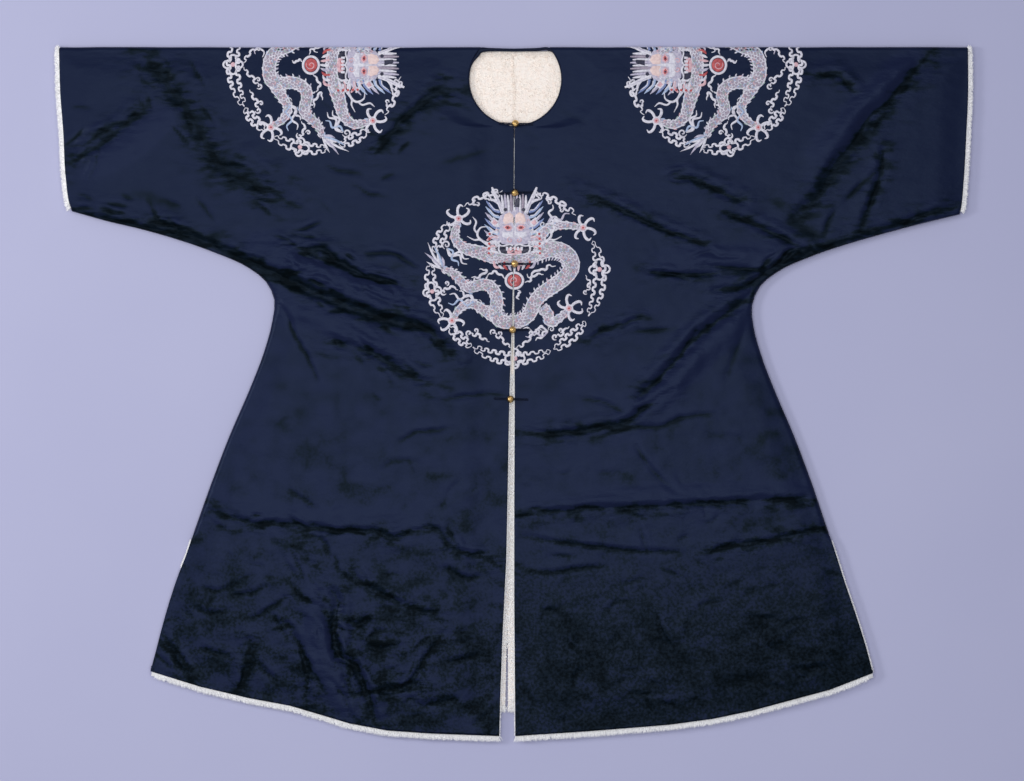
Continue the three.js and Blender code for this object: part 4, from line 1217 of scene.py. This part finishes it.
    def winding(self, line, depth, wave, side, width, seed=0):
        """A ribbon that winds in uneven lobes along a smooth line and runs out straight at both its ends."""
        p = spline(line, 1.0)
        n = len(p)
        t, normal = ways_along(p)
        waves = max(1, round(n / wave))
        s = np.linspace(0, 1, n)
        uneven = lumps(s * n, np.full(n, seed * 9.), wave * 1.3, 70 + seed)
        phase = 2 * np.pi * waves * s * side + 1.1 * uneven
        calm = smooth(np.minimum(np.arange(n), np.arange(n)[::-1]) / (wave * .6)) * (1 + .35 * uneven)
        lobes = normal * np.sin(phase)[:, None] - t * (.6 * side * np.sin(2 * phase))[:, None]
        self.stroke((p + lobes * (calm * depth)[:, None])[::2], width, WHITE, .9, (.3, .3), 1.8)

    def garland(self, first, last, radius=139.5, gap=7.4, knot=None):
        """Two winding cloud ribbons along the ring between two turns in degrees, joined at their ends, with
        a knot between them where one is placed."""
        turn = np.radians(np.linspace(first, last, 24))
        apart = np.sin(np.pi * np.linspace(0, 1, 24)) ** .5
        for side, wave in ((-1, 13), (1, 15)):
            line = on_circle(0, 0, radius + side * gap * apart, turn)
            self.winding(line, 2.5, wave, side, 3.8, seed=abs(first) // 9 + side)
        if knot:
            self.knot(radius, *knot)

    def knot(self, radius, at, size):
        """Four rounded loops about a small eye, on the ring."""
        x, y = radius * math.cos(math.radians(at)), radius * math.sin(math.radians(at))
        a = np.linspace(0, 2 * np.pi, 49)
        r = size * (.38 + .62 * np.abs(np.cos(2 * (a - math.radians(at)))) ** .8)
        self.stroke(on_circle(x, y, r, a), 3.3, WHITE, .9, (1, 1), 1.6)
        self.disc(x, y, size * .24, PINK, .6)

    def drift(self, first, last, radius=139.0, width=3.8):
        """One cloud ribbon along the ring, with curls branching off it."""
        line = on_circle(0, 0, radius, np.radians(np.linspace(first, last, 12)))
        self.winding(line, 3.6, 17, 1, width, seed=abs(first))
        for share, step in ((.3, -9), (.62, -8), (.85, -7)):
            a = math.radians(mix(first, last, share))
            inner = radius + step
            places = np.array([radius, (radius + inner) / 2, inner])
            self.stroke(on_circle(0, 0, places, a + np.array([0, .05, .01])), width, WHITE, .9, (.9, .4))
            self.curl(inner * math.cos(a), inner * math.sin(a), 3.6, math.degrees(a), 1.0, 2.6, WHITE, .85)

    def cloud(self, points, width=3.9, curl=5.2):
        """A drifting cloud: a winding line that starts in a curl, with a second curl riding on it."""
        self.winding(points, 2.6, 13, 1, width)
        p = spline(points, 2)
        a, b = p[0], p[len(p) // 3]
        turn = math.degrees(math.atan2(*(p[0] - p[2])[::-1]))
        self.curl(a[0], a[1], curl, turn + 90, 1.1, width * .8, WHITE, .85)
        self.curl(b[0], b[1] + curl * 1.3, curl * .8, 270, -1.1, width * .75, WHITE, .85)


def clouds(w):
    """The ring of clouds and the small clouds inside it."""
    w.garland(-30, 23, knot=(3, 17))
    w.garland(-63, -34, gap=6)
    w.garland(-120, -65, knot=(-90, 16))
    w.garland(-142, -121, gap=5.5)
    w.garland(173, 211, knot=(192, 15))
    w.garland(142, 165, radius=137, gap=5.8)
    w.drift(127, 98)
    w.drift(44, 77)
    w.cloud([(-118, -30), (-112, -22), (-100, -24), (-93, -27)])
    w.cloud([(-76, -98), (-62, -101), (-50, -108), (-42, -112)])
    w.cloud([(66, -104), (76, -99), (84, -92), (90, -86)])
    w.cloud([(-36, -96), (-24, -106), (-14, -116), (-4, -122)], 3.6)
    w.cloud([(36, -96), (24, -106), (14, -116), (2, -122)], 3.6)
    w.cloud([(116, -30), (122, -22), (121, -10), (116, -2)], 3.0, 4.0)


def body(w):
    """Legs, then the body over them, then the claws and the tail's brush."""
    w.scaly([(-30, 28), (-60, 36), (-86, 44), (-99, 60), (-97, 76), (-93, 88)], (24, 21, 18, 14, 12, 9))
    w.scaly([(34, 44), (47, 68), (64, 79), (85, 80), (101, 78), (110, 76)], (17, 15, 13, 12, 10, 8))
    w.scaly([(44, -54), (55, -68), (57, -81), (70, -75), (81, -66), (88, -58)], (18, 17, 14, 12, 10, 8))
    w.scaly([(-34, -71), (-54, -58), (-70, -49), (-85, -53), (-95, -62), (-103, -75)],
            (18, 16, 13, 12, 10, 8))
    w.scaly([(26, 30), (54, 40), (76, 38), (91, 26), (93, 9), (80, -8), (60, -22), (41, -36), (30, -51),
             (24, -66), (10, -77), (-9, -80), (-27, -76), (-32, -62), (-30, -45), (-34, -29), (-46, -18),
             (-62, -19), (-75, -23), (-86, -16), (-96, -4), (-108, 4), (-121, 8)],
            (24, 25, 25, 24, 24, 23, 22, 21, 20, 20, 20, 19, 18, 17, 15, 12, 8), fins=-1)
    for x, y, toward in ((-93, 91, 95), (112, 76, -10), (89, -57, 40), (-104, -77, 235)):
        w.claw(x, y, toward)
    hairs = ((-146, 20), (-149, 35), (-144, 52), (-134, 46), (-128, 38), (-121, 29), (-139, 28))
    tones = (WHITE, LAVENDER, WHITE, SKY, WHITE, LAVENDER, WHITE)
    for n, ((x, y), tone) in enumerate(zip(hairs, tones)):
        middle = ((x - 120) / 2 + (3 if n % 2 else -2), (y + 8) / 2)
        w.stroke([(-119, 8), middle, (x, y)], 3.8, tone, .9, (.8, .1))


def fires(w):
    """Flames and their curls at the four joints."""
    for x, y, radius, start, turns, width in (
            (-113, 48, 7.5, 250, 1.3, 2.8), (46, 82, 6, 20, 1.3, 2.2), (66, 90, 5.5, 160, 1.2, 2.2),
            (-60, -48, 5.5, 90, 1.3, 2.2), (60, -91, 5.5, 200, 1.3, 2.2), (44, -88, 5, 300, 1.2, 2.0)):
        w.curl(x, y, radius, start, turns, width, WHITE, .9)
    w.flames((-112, 42), ((-79, 16), (-93, 13), (-76, 25)), SKY)
    w.flames((54, 84), ((62, 114), (90, 99), (78, 91)), LAVENDER)
    w.flames((-68, -44), ((-108, -34), (-110, -48), (-92, -28)), SKY)
    w.flames((54, -95), ((12, -91), (17, -103), (34, -110)), LAVENDER)


def pearl(w):
    """The pearl with its wisps."""
    w.stroke(on_circle(-1, -11, 14.2, np.linspace(0, 2 * np.pi, 33), 13 / 14.2), 4.0, WHITE, 1.0, (1, 1), 1.6)
    w.disc(-1, -11, 11.3, RED, .8, squash=.93)
    w.curl(-1, -11, 8.2, 300, 1.2, 2.0, PINK, 1.25)
    for line in ([(-72, -6), (-58, -4), (-47, 6), (-60, 8)], [(-46, -3), (-37, 3), (-27, 1), (-16, -8)],
                 [(20, 0), (22, -6), (36, 6), (48, 7), (56, 13), (68, 13)],
                 [(16, -14), (24, -11), (34, -1), (47, -1)], [(4, -26), (9, -31), (2, -37), (7, -42)]):
        w.winding(line, 1.5, 14, 1, 3.9)


def mirrored(side, *points):
    """Points of the face on one side of its middle line."""
    return [(-1 + side * x, y) for x, y in points]


def mane(w, side):
    """Mane, horn, ear, the cheek's ruff and whiskers on one side."""
    m = lambda *points: mirrored(side, *points)
    for n in range(6):
        y = 62 + n * 9
        w.stroke(m((24, y - 5), (33, y - 4 + n * .5), (41, y + 2 + n), (50 - n * .6, y + 10 + n * .8)), 4.6,
                 (LAVENDER, SKY, BLUE)[n % 3], .8, (.9, .2))
        w.stroke(m((26, y - 2), (34, y), (42, y + 6 + n)), 2.2, WHITE, 1.0, (.9, .2))
    w.stroke(m((19, 100), (24, 114), (30, 126), (37, 143)), 6.4, WHITE, 1.1, (1, .5))
    w.stroke(m((24, 114), (33, 121), (43, 123)), 4.4, WHITE, 1.0, (.9, .35))
    w.stroke(m((20, 102), (26, 117), (33, 132)), 1.5, LAVENDER, 1.3)
    w.dome(m((25, 86), (35, 94), (40, 84), (33, 77), (25, 78)), WHITE, .9)
    w.dome(m((27, 85), (34, 90), (37, 84), (32, 80)), PINK, .5, .7)
    for n in range(5):
        y = 66 - n * 8
        w.stroke(m((27, y + 2), (36 + n * .5, y + 3), (46 - n * .4, y - 3)), 5.2, (WHITE, PINK)[n % 2], .9,
                 (1, .5))
        w.disc(-1 + side * (41 + n * .3), y, 2.1, RED, .5, .9)
    w.stroke(m((22, 54), (36, 50), (52, 54), (61, 64), (56, 76), (44, 78)), 3.8, WHITE, 1.0, (.9, .3))
    w.stroke(m((22, 47), (38, 44), (56, 56), (66, 56), (78, 62)), 3.4, WHITE, .9, (.9, .3))
    w.stroke(m((60, 66), (66, 74), (63, 86), (69, 94)), 3.2, WHITE, .9, (.9, .3))


def eye_and_cheek(w, side):
    """Brow bone, eye, cheek and nostril on one side."""
    m = lambda *points: mirrored(side, *points)
    w.dome(m((1, 84), (1.5, 97), (8, 102), (16, 98), (19, 88), (17, 82)), FLESH, .8, .75)
    w.stroke(m((2, 83), (10, 86), (18, 84), (23, 79)), 2.2, WHITE, 1.6, (.6, .2))
    w.dome(m((3, 76), (7, 81), (14, 81.5), (19, 77), (13, 71.5), (7, 71)), PINK, .4, 1.15)
    w.dome(m((6, 76), (9, 79), (13.5, 79), (16, 76.5), (12.5, 74), (9, 73.6)), RED, .35, 1.4)
    w.disc(-1 + side * 11, 76.3, 1.5, DARK, .3, 1.65)
    w.dome(m((2, 70), (2, 60), (12, 58), (20, 62), (20, 70), (12, 69)), WHITE, .8, .75)
    w.curl(-1 + side * 7, 56, 5.2, 90, 1.1 * side, 2.4, PINK, 1.7)
    w.curl(-1 + side * 27, 49, 5.6, 60, 1.2 * side, 2.8, WHITE, 1.5)
    w.disc(-1 + side * 15, 106, 3, DARK, .3, .95)


def mouth(w):
    """Lips, teeth, fangs, tongue and beard."""
    w.dome([(-35, 50), (-20, 46), (-1, 48), (18, 46), (33, 50), (30, 37), (14, 33), (-1, 35), (-17, 33),
            (-32, 37)], DARK, .4, .5)
    w.stroke([(-36, 50), (-20, 46), (-9, 49), (-1, 46), (7, 49), (18, 46), (34, 50)], 3.6, WHITE, 1.4)
    for x in range(-13, 12, 6):
        w.dome([(x - 2.1, 45), (x + 2.1, 45), (x + 1.7, 38.5), (x - 1.7, 38.5)], WHITE, .6, .9)
    for side in (-1, 1):
        w.stroke(mirrored(side, (24, 49), (26, 40), (21, 33)), 4.2, WHITE, 1.3, (1, .2))
    w.dome([(-14, 42), (-1, 44), (12, 42), (11, 34), (-1, 31), (-13, 34)], PINK, .5, .7)
    w.stroke([(-9, 37), (-1, 39), (7, 37)], 2.6, RED, 1.4)
    w.scaly([(-46, 36), (-28, 26), (-1, 23), (26, 27), (42, 38)], (14, 17, 18, 17, 13))
    for n in range(9):
        x = -35 + n * 8.6
        w.stroke([(x, 19 + abs(n - 4) * .6), (x * .9 - 1, 12), (x * .68, 3 + abs(n - 4) * 1.8)], 4.6,
                 (PINK, WHITE, RED, LAVENDER, WHITE)[n % 5], 1.0, (.95, .25))


def head(w):
    """The dragon's face, seen from the front, with its horns, mane and whiskers."""
    for side in (-1, 1):
        mane(w, side)
    for n in range(9):
        x = -19 + n * 4.5
        w.stroke([(x, 99), (x * 1.05, 114), (x * 1.12 - 1, 130 + (n % 2) * 4)], 4.2,
                 (WHITE, LAVENDER, WHITE, BODY)[n % 4], .9, (.95, .5))
    w.dome([(-2, 110), (2, 124), (6, 126), (8, 124), (7, 110)], DARK, .4, .9)
    w.dome([(-25, 96), (-12, 104), (0, 106), (11, 104), (23, 96), (28, 80), (28, 62), (22, 50), (0, 46),
            (-22, 50), (-30, 62), (-30, 80)], LAVENDER, .9)
    w.scaly([(-24, 64), (-25, 76), (-21, 90)], (11, 12, 8))
    w.scaly([(22, 64), (23, 76), (19, 90)], (11, 12, 8))
    for side in (-1, 1):
        eye_and_cheek(w, side)
    w.dome([(-3, 84), (-1, 92), (1, 84), (3, 62), (-1, 58), (-5, 62)], WHITE, .5, 1.15)
    mouth(w)


def roundel():
    """The whole motif, worked flat."""
    w = Needle()
    for work in (clouds, body, fires, pearl, head):
        work(w)
    return w


def lay(work, across, along, turn):
    """The worked points laid on the cloth. across and along place its middle, along being measured over the
    cloth from the fold, negative down the back; turn gives the four shares that turn it."""
    p = np.vstack(work.points)
    a, b, c, d = turn
    x, t, lift = across + a * p[:, 0] + b * p[:, 1], along + c * p[:, 0] + d * p[:, 1], p[:, 2] * .8 + .02
    out = np.zeros((len(p), 3))
    out[:, 0] = x
    for i in np.nonzero(abs(t) > ARC)[0]:
        down = abs(t[i]) - ARC + FOLD_R
        front = t[i] > 0
        z = front_z(x[i], down) + lift[i] if front else max(.06, back_z(x[i], down) - min(lift[i], .8))
        out[i, 1:] = down, z
    f = np.nonzero(abs(t) <= ARC)[0]
    angle = t[f] / FOLD_R
    r = FOLD_R + fold_lumps(x[f], angle) + lift[f]
    out[f, 1], out[f, 2] = FOLD_R - r * np.cos(angle), FOLD_Z + r * np.sin(angle)
    return out


def embroider(name, across, along, turn, flip=False, split=False):
    """One roundel on the coat, in two pieces where the front opening splits it."""
    work = roundel()
    points = lay(work, across, along, turn)
    faces = np.array([f if len(f) == 4 else f + [f[-1]] for f in work.faces])
    which, uv = np.array(work.which), np.vstack(work.uv)
    middle = points[faces].mean(1)
    parts = {name: np.ones(len(faces), bool)}
    if split:
        left, right = (np.interp(middle[:, 1], *FRONT[sign]) + .3 * sign for sign in (-1, 1))
        parts = {name + "_right": middle[:, 0] < left, name + "_left": middle[:, 0] > right}
    for part, keep in parts.items():
        used, index = np.unique(faces[keep], return_inverse=True)
        rows = index.reshape(-1, 4)
        rows = [list(dict.fromkeys(f)) for f in (rows[:, ::-1] if flip else rows).tolist()]
        mesh(part, points[used], rows, PALETTE, which[keep], uv[used])


ROUNDEL_DOWN = 374.5  # of the middle of the chest's and the back's roundel
SHOULDER_DOWN = 29
embroider("roundel_chest", 2.5, ROUNDEL_DOWN - FOLD_R + ARC, (1, 0, 0, -1), split=True)
embroider("roundel_left_shoulder", 326.5, SHOULDER_DOWN - FOLD_R + ARC, (0, -1, -1, 0))
embroider("roundel_right_shoulder", -323, SHOULDER_DOWN - FOLD_R + ARC, (0, 1, -1, 0), flip=True)
embroider("roundel_back", -3, -(ROUNDEL_DOWN - FOLD_R + ARC), (-1, 0, 0, 1))


# ---- Floor and light ------------------------------------------------------------------------------------
bpy.ops.mesh.primitive_grid_add(x_subdivisions=8, y_subdivisions=8, size=14, location=(0, 0, -.0002))
floor = bpy.context.object
floor.name = "floor"
floor.data.materials.append(floor_look())


def lamp(name, place, size, power, color, aim=(0, 0, 0)):
    light = bpy.data.lights.new(name, "AREA")
    light.shape, light.size, light.energy, light.color = "DISK", size, power, color
    o = bpy.data.objects.new(name, light)
    o.location = place
    o.rotation_euler = (Vector(aim) - Vector(place)).to_track_quat("-Z", "Y").to_euler()
    bpy.context.scene.collection.objects.link(o)


lamp("key", (-2.9, .7, 2.1), .8, 40, (1, .98, .97))
lamp("overhead", (-.2, .15, 3.3), 3.2, 60, (1, 1, 1), (-.2, 0, 0))
world = bpy.data.worlds.new("studio")
world.use_nodes = True
background = world.node_tree.nodes["Background"]
background.inputs["Color"].default_value = (.80, .82, .95, 1)
background.inputs["Strength"].default_value = .36
bpy.context.scene.world = world
bpy.context.scene.view_settings.view_transform = "Standard"
